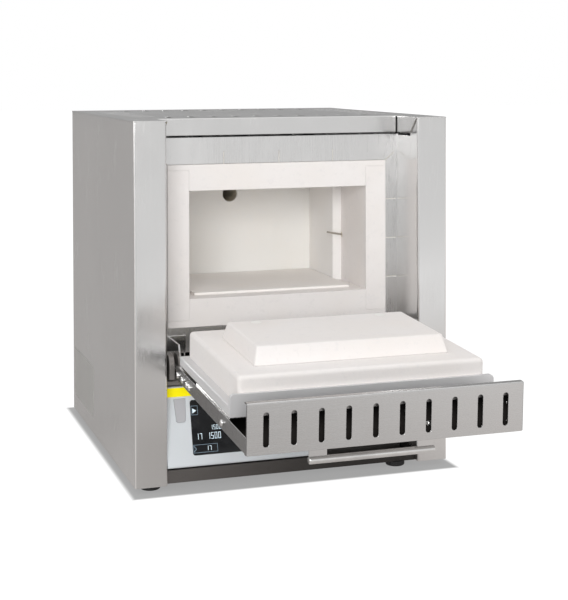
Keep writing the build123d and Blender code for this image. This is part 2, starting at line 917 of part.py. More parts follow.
def tray_bracket_left():
    """Folded angle inside the side flange that carries the tray."""
    outer = -flange_inner
    path = [
        (outer + tray_bracket_width, door_face_y + tray_v),
        (outer, door_face_y + tray_v),
        (outer, door_face_y + sheet),
    ]
    section = bent_sheet(path, tray_bracket_sheet, bend_radius / 2)
    z_low = at_door(tray_bracket_start, 0)[1]
    z_high = at_door(tray_end, 0)[1]
    return along_z(section, (z_low, z_high)) - flange_screw_holes(-1, (tray_screw_station,))


def door_tray():
    """Tray that holds the fibre slab: low folded sides with a ledge, and a taller rounded front."""
    half = tray_width / 2
    y_low = door_face_y + tray_v
    y_ledge = y_low + tray_side
    ledge = slab_width / 2
    path = [
        (-ledge, y_ledge), (-half, y_ledge), (-half, y_low),
        (half, y_low), (half, y_ledge), (ledge, y_ledge),
    ]
    z_low = at_door(tray_start, 0)[1]
    z_high = at_door(tray_end, 0)[1]
    tray = along_z(bent_sheet(path, sheet, bend_radius / 2), (z_low, z_high))
    tray += door_board(
        both(half - bend_radius), (tray_start, tray_start + sheet), (tray_v, tray_v + tray_side)
    )
    tray += tray_front_wall()
    for x in cap_places():
        y = door_face_y + tray_v
        z = cap_height()
        tray -= rod_y(stud_diameter + 2 * fit, x, (y - overcut, y + 2 * sheet), z)
    return tray


def tray_front_wall():
    """Front wall of the tray with rounded corners, turned in over the edge of the slab."""
    half = tray_width / 2
    u_range = (slab_end, tray_end)
    wall = door_board(both(half), u_range, (tray_v, tray_v + tray_front))
    corners = wall.edges().filter_by(Axis.Z).group_by(Axis.Y)
    wall = fillet(corners[-1], tray_corner)
    wall = fillet(wall.edges().filter_by(Axis.Z).group_by(Axis.Y)[0], bend_radius / 2)
    inside = door_board(
        both(half - 2 * bend_radius),
        (slab_end - overcut, tray_end - sheet),
        (tray_v + sheet, tray_v + tray_front - sheet),
    )
    return wall - inside


def cap_places():
    """Places across the door of the studs that hold the plug."""
    return (-cap_x, cap_x)


def cap_height():
    """Height of those studs on the closed door."""
    return at_door(plug_top_start + cap_inset, 0)[1]


def door_slab():
    """White fibre slab with soft edges that covers the muffle mouth."""
    half = slab_width / 2
    slab = door_board(both(half), (slab_start, slab_end), (tray_v + sheet, slab_v))
    slab = fillet(slab.edges().group_by(Axis.Y)[-1] + slab.edges().filter_by(Axis.Y), slab_round)
    for x in cap_places():
        slab -= rod_y(stud_diameter + 2 * wire_clearance, x, (0, casing_depth), cap_height())
    return slab


def door_plug():
    """Raised fibre plug that fills the mouth of the chamber, with slanting sides."""
    y_base, z_base_low = at_door(plug_base_start, slab_v)
    y_top, z_top_low = at_door(plug_top_start, plug_v)
    base = plug_outline(y_base, z_base_low, plug_base_end - plug_base_start, plug_base_width)
    top = plug_outline(y_top, z_top_low, plug_top_end - plug_top_start, plug_top_width)
    plug = loft([base, top])
    plug = fillet(plug.edges().group_by(Axis.Y)[-1], plug_round)
    for x in cap_places():
        plug -= rod_y(stud_diameter + 2 * wire_clearance, x, (0, y_top), cap_height())
        plug -= rod_y(cap_diameter, x, (y_top - cap_depth, y_top + overcut), cap_height())
    return plug


def plug_outline(y, z_low, height, width):
    """A rounded rectangle across the door, facing the chamber."""
    plane = Plane(origin=(0, y, z_low + height / 2), x_dir=(1, 0, 0), z_dir=(0, -1, 0))
    return plane * RectangleRounded(width, height, plug_round)


def door_fibre_caps():
    """Fibre caps over the stud ends."""
    y_top = door_face_y + plug_v
    return Compound(
        [rod_y(cap_diameter - 2 * fit, x, (y_top - cap_depth, y_top), cap_height()) for x in cap_places()]
    )


def door_studs():
    """Ceramic studs that hold the slab and the plug to the tray."""
    y_low = door_face_y + tray_v
    y_high = door_face_y + plug_v - cap_depth
    studs = []
    for x in cap_places():
        head = rod_y(stud_head, x, (y_low - stud_head_thickness, y_low), cap_height())
        studs.append(head + rod_y(stud_diameter, x, (y_low - overcut, y_high), cap_height()))
    return Compound(studs)


def hinge_bracket_left():
    """Fixed side plate of the hinge, with a foot on the collar and a sloping front."""
    bottom = base_z + clevis_bottom
    top = base_z + bracket_top
    outline = Polyline(
        (bracket_front_y, bottom + bracket_nose_height),
        (bracket_slope_y, top),
        (collar_front, top),
        (collar_front, bottom),
        (bracket_front_y + bend_radius, bottom),
        close=True,
    )
    plate = along_x(make_face(outline), (-clevis_inner, -clevis_inner + bracket_thickness))
    plate = fillet(plate.edges().filter_by(Axis.X).sort_by(Axis.Y)[0:2], bend_radius)
    foot = block(
        (-clevis_inner, -clevis_inner + bracket_foot),
        (collar_front - bracket_thickness, collar_front),
        (base_z + collar_bottom, top),
    )
    return plate + foot - pin_bore()


def pin_bore():
    """The bore for the hinge pin in the fixed parts."""
    return rod_x(pin_diameter + 2 * fit, (-half_width, 0), pivot_y, pivot_z)


def hinge_clevis_left():
    """Clevis block outside the bracket: two cheeks round the arm's eye and a web behind."""
    y_range = (clevis_front_y, clevis_front_y + clevis_depth)
    z_range = (base_z + clevis_bottom, base_z + clevis_top)
    clevis = block((-clevis_outer, -clevis_inner), y_range, z_range)
    front_top = clevis.edges().filter_by(Axis.X).group_by(Axis.Y)[0].sort_by(Axis.Z)[-1]
    clevis = fillet(front_top, clevis_round)
    gap_x = (-flange_inner - sheet - arm_side_clearance, -flange_inner + arm_thickness + arm_side_clearance)
    gap_z = (z_range[0] - overcut, z_range[1] + overcut)
    clevis -= block(gap_x, (y_range[0] - overcut, y_range[1] - clevis_web), gap_z)
    return clevis - pin_bore()


def hinge_pin_left():
    """Hinge pin with a flat head against the bracket."""
    inner = -clevis_inner + bracket_thickness
    head = rod_x(pin_head, (inner, inner + pin_head_thickness), pivot_y, pivot_z)
    return head + rod_x(pin_diameter, (-clevis_outer, inner + pin_head_thickness / 2), pivot_y, pivot_z)


def handle_bracket():
    """Folded sheet on the door: a foot, and two legs joined by a narrow web round the finger window."""
    z = at_door(handle_u, 0)[1]
    half = handle_length / 2
    face_y = door_face_y
    rod_y_place = face_y - handle_reach
    half_sheet = handle_sheet / 2
    path = [
        (rod_y_place, z + half_sheet),
        (face_y, z + half_sheet),
        (face_y, z - handle_foot),
    ]
    bracket = along_x(bent_sheet(path[::-1], handle_sheet, bend_radius), both(half))
    window = block(
        both(half - handle_leg),
        (rod_y_place - overcut, face_y - handle_sheet - handle_web),
        (z - handle_sheet, z + handle_sheet),
    )
    return bracket - window - rod_x(handle_diameter, both(half + overcut), rod_y_place, z)


def handle_rod():
    """Round grip bar along the ends of the legs, with softened ends."""
    y = door_face_y - handle_reach
    rod = rod_x(handle_diameter, both(handle_length / 2), y, at_door(handle_u, 0)[1])
    return chamfer(rod.edges().filter_by(GeomType.CIRCLE), handle_diameter / 8)


def on_panel(x, rise, outwards=0.0):
    """A place on the sloping face of the control housing."""
    return panel_face * Pos(x, rise, outwards)


def housing_outline():
    """Side view of the control housing as (y, z) points, from the lower rear corner."""
    low = base_z + panel_bottom
    high = base_z + panel_top
    return [
        (housing_depth, high),
        (panel_lean_depth, high),
        (0, low),
        (housing_depth, low),
    ]


def control_housing():
    """Leaning control housing: a folded front with closed ends, open to the rear."""
    x_range = (housing_left, panel_right)
    outline = housing_outline()
    shell = along_x(bent_sheet(outline, housing_wall, bend_radius), x_range)
    profile = make_face(Polyline(*outline, close=True))
    body = along_x(profile, x_range)
    front_edges = body.edges().filter_by(Axis.X).sort_by(Axis.Y)[0:2]
    body = fillet(front_edges, bend_radius)
    middle = (x_range[0] + housing_wall, x_range[1] - housing_wall)
    ends = body - block(middle, (-overcut, housing_depth + overcut), (0, top_z))
    housing = shell + ends
    housing -= display_cutter(glass_gap, 4 * housing_wall)
    housing -= flap_cutter(flap_thickness, glass_gap)
    return housing - socket_cutter(glass_gap)


def display_cutter(gap, depth):
    """The display's outline, made larger by a gap all round, through a given depth."""
    middle_x = display_left + display_width / 2
    middle_rise = display_rise + display_height / 2
    shape = RectangleRounded(display_width + 2 * gap, display_height + 2 * gap, bend_radius)
    return extrude(on_panel(middle_x, middle_rise, -depth / 2) * shape, depth)


def display_glass():
    """Flush cover glass of the touch display."""
    middle_x = display_left + display_width / 2
    middle_rise = display_rise + display_height / 2
    shape = RectangleRounded(display_width, display_height, bend_radius)
    return extrude(on_panel(middle_x, middle_rise, -display_thickness) * shape, display_thickness)


def display_module():
    """Display and controller board behind the glass, up to the bulkhead side."""
    middle_x = display_left + display_width / 2
    middle_rise = display_rise + display_height / 2
    size = (display_width + 2 * housing_wall, display_height + 2 * housing_wall)
    shape = RectangleRounded(*size, bend_radius)
    module = on_panel(middle_x, middle_rise, -housing_wall - module_depth) * shape
    back = extrude(module, module_depth)
    lift = on_panel(middle_x, middle_rise, -housing_wall) * Rectangle(
        display_width - 2 * bend_radius, display_height - 2 * bend_radius
    )
    return back + extrude(lift, housing_wall - display_thickness)


def flap_outline(gap):
    """The flap's outline on the panel: straight at the hinge, narrower and rounded below."""
    left = flap_left - gap
    right = flap_left + flap_width + gap
    low = flap_top - flap_height - gap
    outline = Polyline(
        (left, flap_top + gap),
        (right, flap_top + gap),
        (right - flap_taper / 2, low),
        (left + flap_taper, low),
        close=True,
    )
    face = make_face(outline)
    return fillet(face.vertices().group_by(Axis.Y)[0], bend_radius)


def flap_cutter(depth, gap):
    """The recess that takes the flap."""
    return extrude(panel_face * Pos(0, 0, -depth) * flap_outline(gap), depth + overcut)


def usb_flap():
    """Cover flap of the data socket, hinged along its top edge."""
    return extrude(panel_face * Pos(0, 0, -flap_thickness + fit) * flap_outline(0), flap_thickness)


def socket_place():
    """Middle of the data socket on the panel."""
    x = flap_left + flap_width / 2 + flap_taper / 4
    return x, flap_top - flap_height / 2 - socket_drop


def socket_cutter(gap):
    """The hole for the data socket behind the flap."""
    x, rise = socket_place()
    shape = Rectangle(socket_width + 2 * gap, socket_height + 2 * gap)
    return extrude(on_panel(x, rise, -4 * housing_wall) * shape, 4 * housing_wall)


def usb_socket():
    """Data socket behind the flap: a metal shell with a tongue."""
    x, rise = socket_place()
    start = -flap_thickness - sheet - socket_depth
    shell = extrude(on_panel(x, rise, start) * Rectangle(socket_width, socket_height), socket_depth)
    mouth = Rectangle(socket_width - 2 * sheet, socket_height - 2 * sheet)
    shell -= extrude(on_panel(x, rise, start + socket_depth / 3) * mouth, socket_depth)
    tongue = Rectangle(sheet, socket_height - 4 * sheet)
    tongue = extrude(on_panel(x - sheet, rise, start + socket_depth / 3) * tongue, socket_depth / 2)
    flange = Rectangle(socket_width + 2 * housing_wall, socket_height + 2 * housing_wall)
    seat = extrude(on_panel(x, rise, start) * flange, socket_depth - housing_wall + flap_thickness + sheet)
    return shell + tongue + (seat - extrude(on_panel(x, rise, start - overcut) * mouth, 2 * socket_depth))


def accent_strip():
    """Coloured strip along the top of the control housing."""
    width = panel_right - housing_left
    shape = Rectangle(width, accent_height)
    place = on_panel(housing_left + width / 2, panel_slope - accent_height / 2 - bend_radius / 2)
    return extrude(place * shape, accent_thickness)


def lower_fascia():
    """Dark fascia beside the control housing, with the cut-out for the mains switch."""
    x_range = (panel_right + sheet_gap, pillar_inner - sheet_gap)
    low = base_z + base_flange + sheet_gap
    high = base_z + panel_top
    path = [(housing_depth, high), (fascia_y, high), (fascia_y, low), (housing_depth, low)]
    fascia = along_x(bent_sheet(path, sheet, bend_radius / 2), x_range)
    return fascia - switch_board(0, (fascia_y - overcut, fascia_y + 2 * sheet))


def switch_board(margin, y_range):
    """A board round the middle of the mains switch, larger by a margin."""
    half = switch_width / 2 + margin
    half_high = switch_height / 2 + margin
    z = base_z + switch_z
    return block((switch_x - half, switch_x + half), y_range, (z - half_high, z + half_high))


def switch_frame():
    """Frame of the mains switch: a bezel on the fascia and an open body behind it."""
    bezel = switch_board(switch_bezel / 2, (fascia_y - switch_bezel / 2, fascia_y))
    body = switch_board(-fit, (fascia_y - sheet, fascia_y + switch_depth - 2 * sheet))
    frame = bezel + body
    return frame - switch_board(-switch_bezel, (0, fascia_y + switch_depth / 2))


def switch_rocker():
    """Rocker of the mains switch, drawn at its off position, tilted about its own middle."""
    half = switch_width / 2 - switch_bezel - rocker_gap
    half_high = switch_height / 2 - switch_bezel - 2 * rocker_gap
    z = base_z + switch_z
    front = fascia_y - switch_bezel
    rocker = block(
        (switch_x - half, switch_x + half), (front, front + rocker_depth),
        (z - half_high, z + half_high),
    )
    hollow = Pos(switch_x, front - 5 * half_high, z) * Rot(0, 90, 0)
    rocker -= hollow * Cylinder(5 * half_high + rocker_gap, 2 * switch_width)
    axis = Axis((switch_x, fascia_y, z), (1, 0, 0))
    return rocker.rotate(axis, rocker_tilt)


def door_sill():
    """Sheet between the pillars under the door, with a lip over the control housing."""
    high = base_z + sill_height
    path = [
        (sill_depth, high),
        (panel_lean_depth, high),
        (panel_lean_depth, high - sill_lip),
    ]
    return along_x(bent_sheet(path, sheet, bend_radius / 2), both(pillar_inner - sheet_gap))


def control_bulkhead():
    """Upright sheet behind the controls that carries the housing, the fascia and the sill."""
    z_range = (base_z + sheet, base_z + sill_height - sheet)
    plate = block(both(pillar_inner - 2 * sheet), (housing_depth, housing_depth + sheet), z_range)
    for x in (display_left + display_width / 2, switch_x):
        plate -= rod_y(bulkhead_hole, x, (0, casing_depth), base_z + switch_z)
    return plate


def control_board():
    """Circuit board on the back of the bulkhead, with spacers."""
    y = housing_depth + sheet + board_standoff
    middle = display_left + display_width / 2
    half = display_width / 2
    z_range = (base_z + panel_bottom + housing_wall, base_z + panel_top - housing_wall)
    board = block((middle - half, middle + half), (y, y + board_thickness), z_range)
    for x in (middle - half + board_standoff, middle + half - board_standoff):
        for z in (z_range[0] + board_standoff, z_range[1] - board_standoff):
            board += rod_y(board_standoff, x, (housing_depth + sheet, y), z)
    capacitor = Pos(middle - half / 2, y + board_thickness, sum(z_range) / 2)
    board += capacitor * Rot(-90, 0, 0) * Cylinder(
        board_standoff, 3 * board_standoff, align=(Align.CENTER, Align.CENTER, Align.MIN)
    )
    return board


def relay_place():
    """Left, front and bottom of the solid-state relay."""
    return (-relay_width / 2, inner_back - relay_depth, base_z + sheet + heatsink_depth)


def relay_heatsink():
    """Finned heat sink on the floor pan."""
    x, y, z = relay_place()
    y_range = (y, y + relay_depth)
    base = block((x, x + relay_width), y_range, (z - heatsink_plate, z))
    pitch = (relay_width - heatsink_fin) / (heatsink_fins - 1)
    for index in range(heatsink_fins):
        fin_x = x + pitch * index
        base += block((fin_x, fin_x + heatsink_fin), y_range, (base_z + sheet, z - heatsink_plate / 2))
    return base


def power_relay():
    """Solid-state relay that switches the heaters."""
    x, y, z = relay_place()
    body = block((x, x + relay_width), (y, y + relay_depth), (z, z + relay_height))
    return fillet(body.edges().filter_by(Axis.Z), bend_radius)


def terminal_block():
    """Mains terminal block on the floor pan, with a wire pocket for each pole."""
    x = inlet_x - terminal_width / 2
    y = inner_back
    z = base_z + sheet
    body = block((x, x + terminal_width), (y, y + terminal_depth), (z, z + terminal_height))
    pitch = terminal_width / terminal_poles
    for index in range(terminal_poles):
        middle = x + pitch * (index + 0.5)
        body -= rod_y(pitch / 2, middle, (y - overcut, y + terminal_depth / 3), z + terminal_height / 2)
    return body


def power_inlet():
    """Appliance inlet in the rear panel: a flange, a body and three pins in a deep mouth."""
    half = inlet_width / 2
    half_high = inlet_height / 2
    z = base_z + inlet_z
    margin = inlet_wall
    flange = block(
        (inlet_x - half - margin, inlet_x + half + margin),
        (casing_depth, casing_depth + margin),
        (z - half_high - margin, z + half_high + margin),
    )
    body = block(
        (inlet_x - half + fit, inlet_x + half - fit),
        (casing_depth - inlet_depth, casing_depth + margin),
        (z - half_high + fit, z + half_high - fit),
    )
    mouth = block(
        (inlet_x - half + 2 * margin, inlet_x + half - 2 * margin),
        (casing_depth - inlet_depth + margin, casing_depth + 2 * margin),
        (z - half_high + margin, z + half_high - margin),
    )
    inlet = flange + body - mouth
    for x in (-half / 3, 0, half / 3):
        pin_y = (casing_depth - inlet_depth, casing_depth - margin)
        pin_x = (inlet_x + x - inlet_pin / 2, inlet_x + x + inlet_pin / 2)
        inlet += block(pin_x, pin_y, (z - margin, z + margin))
    return inlet


def feet():
    """The four rubber feet."""
    return Compound([Pos(x, y, 0) * foot() for x, y in foot_places()])


def fixed_parts():
    """Every piece that stays with the casing, by name."""
    side = left_side_panel()
    wall = muffle_left_wall()
    parts = {
        "left_side_panel": side,
        "right_side_panel": mirrored(side),
        "top_panel": top_panel(),
        "rear_panel": rear_panel(),
        "rear_screws": rear_screws(),
        "base_pan": base_pan(),
        "feet": feet(),
        "pillar_plates": pair(pillar_foot_plate()),
        "front_collar": front_collar(),
        "inner_casing": inner_casing(),
        "muffle_stands": pair(muffle_stand()),
        "muffle_roof": muffle_roof(),
        "muffle_floor": muffle_floor(),
        "muffle_left_wall": wall,
        "muffle_right_wall": mirrored(wall) - probe_hole(),
        "muffle_rear_wall": muffle_rear_wall(),
        "heater_plates": pair(heater_plate_left()),
        "heating_wires": pair(heating_wire_left()),
        "heater_terminals": pair(heater_terminal_left()),
        "hearth_plate": hearth_plate(),
        "thermocouple": thermocouple(),
        "thermocouple_tube": thermocouple_tube(),
        "thermocouple_head": thermocouple_head(),
        "exhaust_tube": exhaust_tube(),
        "exhaust_spigot": exhaust_spigot(),
        "hinge_brackets": pair(hinge_bracket_left()),
        "hinge_clevises": pair(hinge_clevis_left()),
        "hinge_pins": pair(hinge_pin_left()),
        "control_housing": control_housing(),
        "accent_strip": accent_strip(),
        "display_glass": display_glass(),
        "display_module": display_module(),
        "usb_flap": usb_flap(),
        "usb_socket": usb_socket(),
        "lower_fascia": lower_fascia(),
        "switch_frame": switch_frame(),
        "switch_rocker": switch_rocker(),
        "door_sill": door_sill(),
        "control_bulkhead": control_bulkhead(),
        "control_board": control_board(),
        "relay_heatsink": relay_heatsink(),
        "power_relay": power_relay(),
        "terminal_block": terminal_block(),
        "power_inlet": power_inlet(),
    }
    parts.update(backup_boards())
    return parts


def door_parts():
    """Every piece that swings with the door, by name, drawn with the door closed."""
    return {
        "door_outer_panel": door_outer_panel(),
        "door_tray": door_tray(),
        "door_slab": door_slab(),
        "door_plug": door_plug(),
        "door_fibre_caps": door_fibre_caps(),
        "door_studs": door_studs(),
        "tray_brackets": pair(tray_bracket_left()),
        "hinge_arms": pair(hinge_arm_left()),
        "door_screws": door_screws(),
        "handle_bracket": handle_bracket(),
        "handle_rod": handle_rod(),
    }


def furnace():
    """All pieces with the door open, moved so that the origin is under the middle of the outline."""
    parts = fixed_parts()
    for name, part in door_parts().items():
        parts[name] = part.rotate(hinge_axis, door_open_angle)
    boxes = [part.bounding_box() for part in parts.values()]
    front = min(box.min.Y for box in boxes)
    back = max(box.max.Y for box in boxes)
    move = Pos(0, -(front + back) / 2, 0)
    print("moved along y by", round(-(front + back) / 2, 3))
    return {name: move * part for name, part in parts.items()}


os.makedirs("parts", exist_ok=True)
for node, solid in furnace().items():
    export_step(solid, "parts/" + node + ".step")
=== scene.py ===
import bpy
import bmesh
import json
import math
from mathutils import Matrix, Vector


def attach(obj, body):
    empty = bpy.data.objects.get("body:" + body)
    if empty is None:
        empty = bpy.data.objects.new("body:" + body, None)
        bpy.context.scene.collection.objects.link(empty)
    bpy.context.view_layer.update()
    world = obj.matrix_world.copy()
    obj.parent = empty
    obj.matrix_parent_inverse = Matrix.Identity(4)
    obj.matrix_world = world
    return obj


# Looks of the muffle furnace: finishes for every CAD piece, the small pieces that are only in the
# scene, the floor, the light and the camera. Metres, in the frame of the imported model.

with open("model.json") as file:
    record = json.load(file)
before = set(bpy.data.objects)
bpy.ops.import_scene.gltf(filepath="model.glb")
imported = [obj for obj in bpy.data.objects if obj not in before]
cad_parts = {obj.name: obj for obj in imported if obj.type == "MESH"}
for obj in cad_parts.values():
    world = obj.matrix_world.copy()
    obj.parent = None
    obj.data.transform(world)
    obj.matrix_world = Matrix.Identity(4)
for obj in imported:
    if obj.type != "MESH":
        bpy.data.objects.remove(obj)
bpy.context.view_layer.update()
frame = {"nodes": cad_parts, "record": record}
nodes = frame["nodes"]
record = frame["record"]

MM = 0.001
# Where the front faces of the pillars are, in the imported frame
DEPTH_SHIFT = -0.080359

# The leaning face of the control housing: its lower edge above the bench and above the casing's
# underside, and how far it goes back and up, in millimetres
PANEL_FOOT = 24.5
PANEL_START = 18.5
PANEL_BACK = 24.5
PANEL_RISE = 88.5
PANEL_LOW = PANEL_FOOT * MM
PANEL_LEAN = math.atan2(PANEL_BACK, PANEL_RISE)
PANEL_ORIGIN = Vector((0, DEPTH_SHIFT, PANEL_LOW))
PANEL_UP = Vector((0, math.sin(PANEL_LEAN), math.cos(PANEL_LEAN)))
PANEL_OUT = Vector((0, -math.cos(PANEL_LEAN), math.sin(PANEL_LEAN)))

# The open door: its hinge line, and the directions off its outer sheet and along it
DOOR_ANGLE = math.radians(93)
HINGE_LINE = Vector((0, 12.05 * MM + DEPTH_SHIFT, 137.3 * MM))
HINGE_ALONG = -12.5 * MM
HINGE_OFF = 8.45 * MM
DOOR_OFF = Vector((0, math.cos(DOOR_ANGLE), math.sin(DOOR_ANGLE)))
DOOR_ALONG = Vector((0, -math.sin(DOOR_ANGLE), math.cos(DOOR_ANGLE)))


# Materials

def linear(red, green, blue):
    """A colour given as it looks on a screen, 0 to 255, as the numbers a shader takes."""
    values = []
    for value in (red, green, blue):
        share = value / 255
        values.append(share / 12.92 if share <= 0.04045 else ((share + 0.055) / 1.055) ** 2.4)
    return (*values, 1.0)


def ranged(tree, value, low, high, out_low, out_high):
    """A smooth step from one number to another."""
    node = tree.nodes.new("ShaderNodeMapRange")
    node.interpolation_type = "SMOOTHSTEP"
    node.inputs["From Min"].default_value = low
    node.inputs["From Max"].default_value = high
    node.inputs["To Min"].default_value = out_low
    node.inputs["To Max"].default_value = out_high
    tree.links.new(value, node.inputs["Value"])
    return node.outputs[0]


def worked(tree, operation, *values):
    """One step of arithmetic on sockets and numbers."""
    node = tree.nodes.new("ShaderNodeMath")
    node.operation = operation
    for socket, value in zip(node.inputs, values):
        if isinstance(value, (int, float)):
            socket.default_value = value
        else:
            tree.links.new(value, socket)
    return node.outputs[0]


def summed(tree, first, *others):
    """Adds sockets up, one after the other."""
    for other in others:
        first = worked(tree, "ADD", first, other)
    return first


def coordinates(tree):
    """The object's own coordinates, one output for each axis."""
    place = tree.nodes.new("ShaderNodeTexCoord").outputs["Object"]
    split = tree.nodes.new("ShaderNodeSeparateXYZ")
    tree.links.new(place, split.inputs[0])
    return split.outputs


def shader_of(material):
    """The principled shader of a finish."""
    return next(node for node in material.node_tree.nodes if node.type == "BSDF_PRINCIPLED")


def scaled(colour, factor, lift=0.0):
    """A colour made darker or lighter, no channel above 1."""
    return tuple(min(1.0, value * factor + lift) for value in colour[:3]) + (1.0,)


class Finish:
    """A material with a principled shader and a few short ways to build its nodes."""

    def __init__(self, name):
        self.material = bpy.data.materials.new(name)
        self.material.use_nodes = True
        self.tree = self.material.node_tree
        self.tree.nodes.clear()
        self.shader = self.add("ShaderNodeBsdfPrincipled")
        output = self.add("ShaderNodeOutputMaterial")
        self.link(self.shader.outputs[0], output.inputs["Surface"])
        self.place = self.add("ShaderNodeTexCoord").outputs["Object"]

    def add(self, kind):
        return self.tree.nodes.new(kind)

    def link(self, source, target):
        self.tree.links.new(source, target)

    def set(self, **values):
        for name, value in values.items():
            self.shader.inputs[name.replace("_", " ")].default_value = value

    def noise(self, scale, detail=2.0, stretch=(1, 1, 1), offset=(0, 0, 0), rough=0.5):
        """Noise in the object's own place, stretched along an axis by a small number there."""
        mapping = self.add("ShaderNodeMapping")
        mapping.inputs["Scale"].default_value = [scale * value for value in stretch]
        mapping.inputs["Location"].default_value = offset
        self.link(self.place, mapping.inputs["Vector"])
        noise = self.add("ShaderNodeTexNoise")
        noise.inputs["Scale"].default_value = 1.0
        noise.inputs["Detail"].default_value = detail
        noise.inputs["Roughness"].default_value = rough
        self.link(mapping.outputs[0], noise.inputs["Vector"])
        return noise.outputs[0]

    def spread(self, value, low, high, out_low, out_high):
        """Values between low and high, moved to the range between out_low and out_high."""
        node = self.add("ShaderNodeMapRange")
        node.inputs["From Min"].default_value = low
        node.inputs["From Max"].default_value = high
        node.inputs["To Min"].default_value = out_low
        node.inputs["To Max"].default_value = out_high
        self.link(value, node.inputs["Value"])
        return node.outputs[0]

    def math(self, operation, first, second):
        return worked(self.tree, operation, first, second)

    def feed(self, **sockets):
        """Links a socket to each named input of the shader."""
        for name, source in sockets.items():
            self.link(source, self.shader.inputs[name.replace("_", " ")])

    def mix(self, factor, first, second):
        """Mixes two colours, each a socket or four numbers."""
        node = self.add("ShaderNodeMix")
        node.data_type = "RGBA"
        if isinstance(factor, (int, float)):
            node.inputs[0].default_value = factor
        else:
            self.link(factor, node.inputs[0])
        for socket, value in ((node.inputs[6], first), (node.inputs[7], second)):
            if isinstance(value, tuple):
                socket.default_value = value
            else:
                self.link(value, socket)
        return node.outputs[2]

    def axis(self, name):
        """One coordinate of the place."""
        node = self.add("ShaderNodeSeparateXYZ")
        self.link(self.place, node.inputs[0])
        return node.outputs[name]

    def across(self, along):
        """The direction across brush marks that run along a given one."""
        geometry = self.add("ShaderNodeNewGeometry")
        cross = self.add("ShaderNodeVectorMath")
        cross.operation = "CROSS_PRODUCT"
        self.link(geometry.outputs["Normal"], cross.inputs[0])
        cross.inputs[1].default_value = along
        return cross.outputs[0]

    def bump(self, height, strength, distance, under=None):
        """A bump from a height, laid over a rounded normal where one is given."""
        node = self.add("ShaderNodeBump")
        node.inputs["Strength"].default_value = strength
        node.inputs["Distance"].default_value = distance
        self.link(height, node.inputs["Height"])
        if under is not None:
            self.link(under, node.inputs["Normal"])
        return node.outputs[0]

    def soft_edges(self, radius):
        """Rounds the look of hard edges by a small radius."""
        node = self.add("ShaderNodeBevel")
        node.samples = 4
        node.inputs["Radius"].default_value = radius
        return node.outputs[0]

    def wear(self, radius):
        """A mask that is 1 on edges and 0 on flats."""
        geometry = self.add("ShaderNodeNewGeometry")
        dot = self.add("ShaderNodeVectorMath")
        dot.operation = "DOT_PRODUCT"
        self.link(self.soft_edges(radius), dot.inputs[0])
        self.link(geometry.outputs["Normal"], dot.inputs[1])
        turned = self.math("SUBTRACT", 1.0, dot.outputs["Value"])
        return self.spread(turned, *EDGE_TURN, 0.0, 1.0)


# How far a rounded normal turns from the true one where wear begins and where it is full
EDGE_TURN = (0.02, 0.35)
METAL_EDGE = 0.0006
POLISHED_EDGE = 0.0004
PLASTIC_EDGE = 0.0004
PATCHINESS = 0.02


def brushed(name, colour, roughness, grain, metallic=1.0, stretch=0.0):
    """Brushed sheet metal. grain holds small numbers along the brush marks and 1 across them."""
    finish = Finish(name)
    marks = finish.noise(2300, 2, grain, rough=0.6)
    strokes = finish.noise(420, 3, grain, (2, 8, 5))
    wide = finish.noise(7, 2, (1, 1, 1), (3, 1, 2))
    handled = finish.noise(26, 3, (1, 1, 0.6), (7, 5, 1))
    dark = scaled(colour, 1 - PATCHINESS)
    light = scaled(colour, 1 + PATCHINESS)
    tone = finish.mix(finish.spread(wide, 0.35, 0.65, 0, 1), dark, light)
    streak = finish.mix(finish.spread(strokes, 0.3, 0.7, 0, 1), dark, light)
    worn = finish.math("MULTIPLY", finish.wear(METAL_EDGE), 0.6)
    shine = finish.spread(marks, 0.25, 0.75, roughness - 0.05, roughness + 0.07)
    smudge = finish.spread(handled, 0.45, 0.7, 0.0, 0.05)
    finish.feed(
        Base_Color=finish.mix(worn, finish.mix(0.3, tone, streak), scaled(colour, 1.25)),
        Roughness=finish.math("ADD", shine, smudge),
        Normal=finish.bump(marks, 0.04, 0.0002, finish.soft_edges(METAL_EDGE)),
    )
    finish.set(Metallic=metallic, Anisotropic=stretch)
    if stretch:
        finish.feed(Tangent=finish.across((grain[2], 0.0, grain[0])))
    return finish.material


def polished(name, colour, roughness):
    """Turned or drawn bright metal with fine rings and light smudges."""
    finish = Finish(name)
    rings = finish.noise(1500, 2, (0.12, 1, 1))
    smudge = finish.noise(60, 3, (1, 1, 1), (2, 3, 4))
    smudged = finish.spread(smudge, 0.4, 0.7, 0, 1)
    finish.feed(
        Base_Color=finish.mix(smudged, colour, scaled(colour, 0.86)),
        Roughness=finish.spread(smudge, 0.3, 0.7, roughness, roughness + 0.12),
        Normal=finish.bump(rings, 0.06, 0.0001, finish.soft_edges(POLISHED_EDGE)),
    )
    finish.set(Metallic=1.0)
    return finish.material


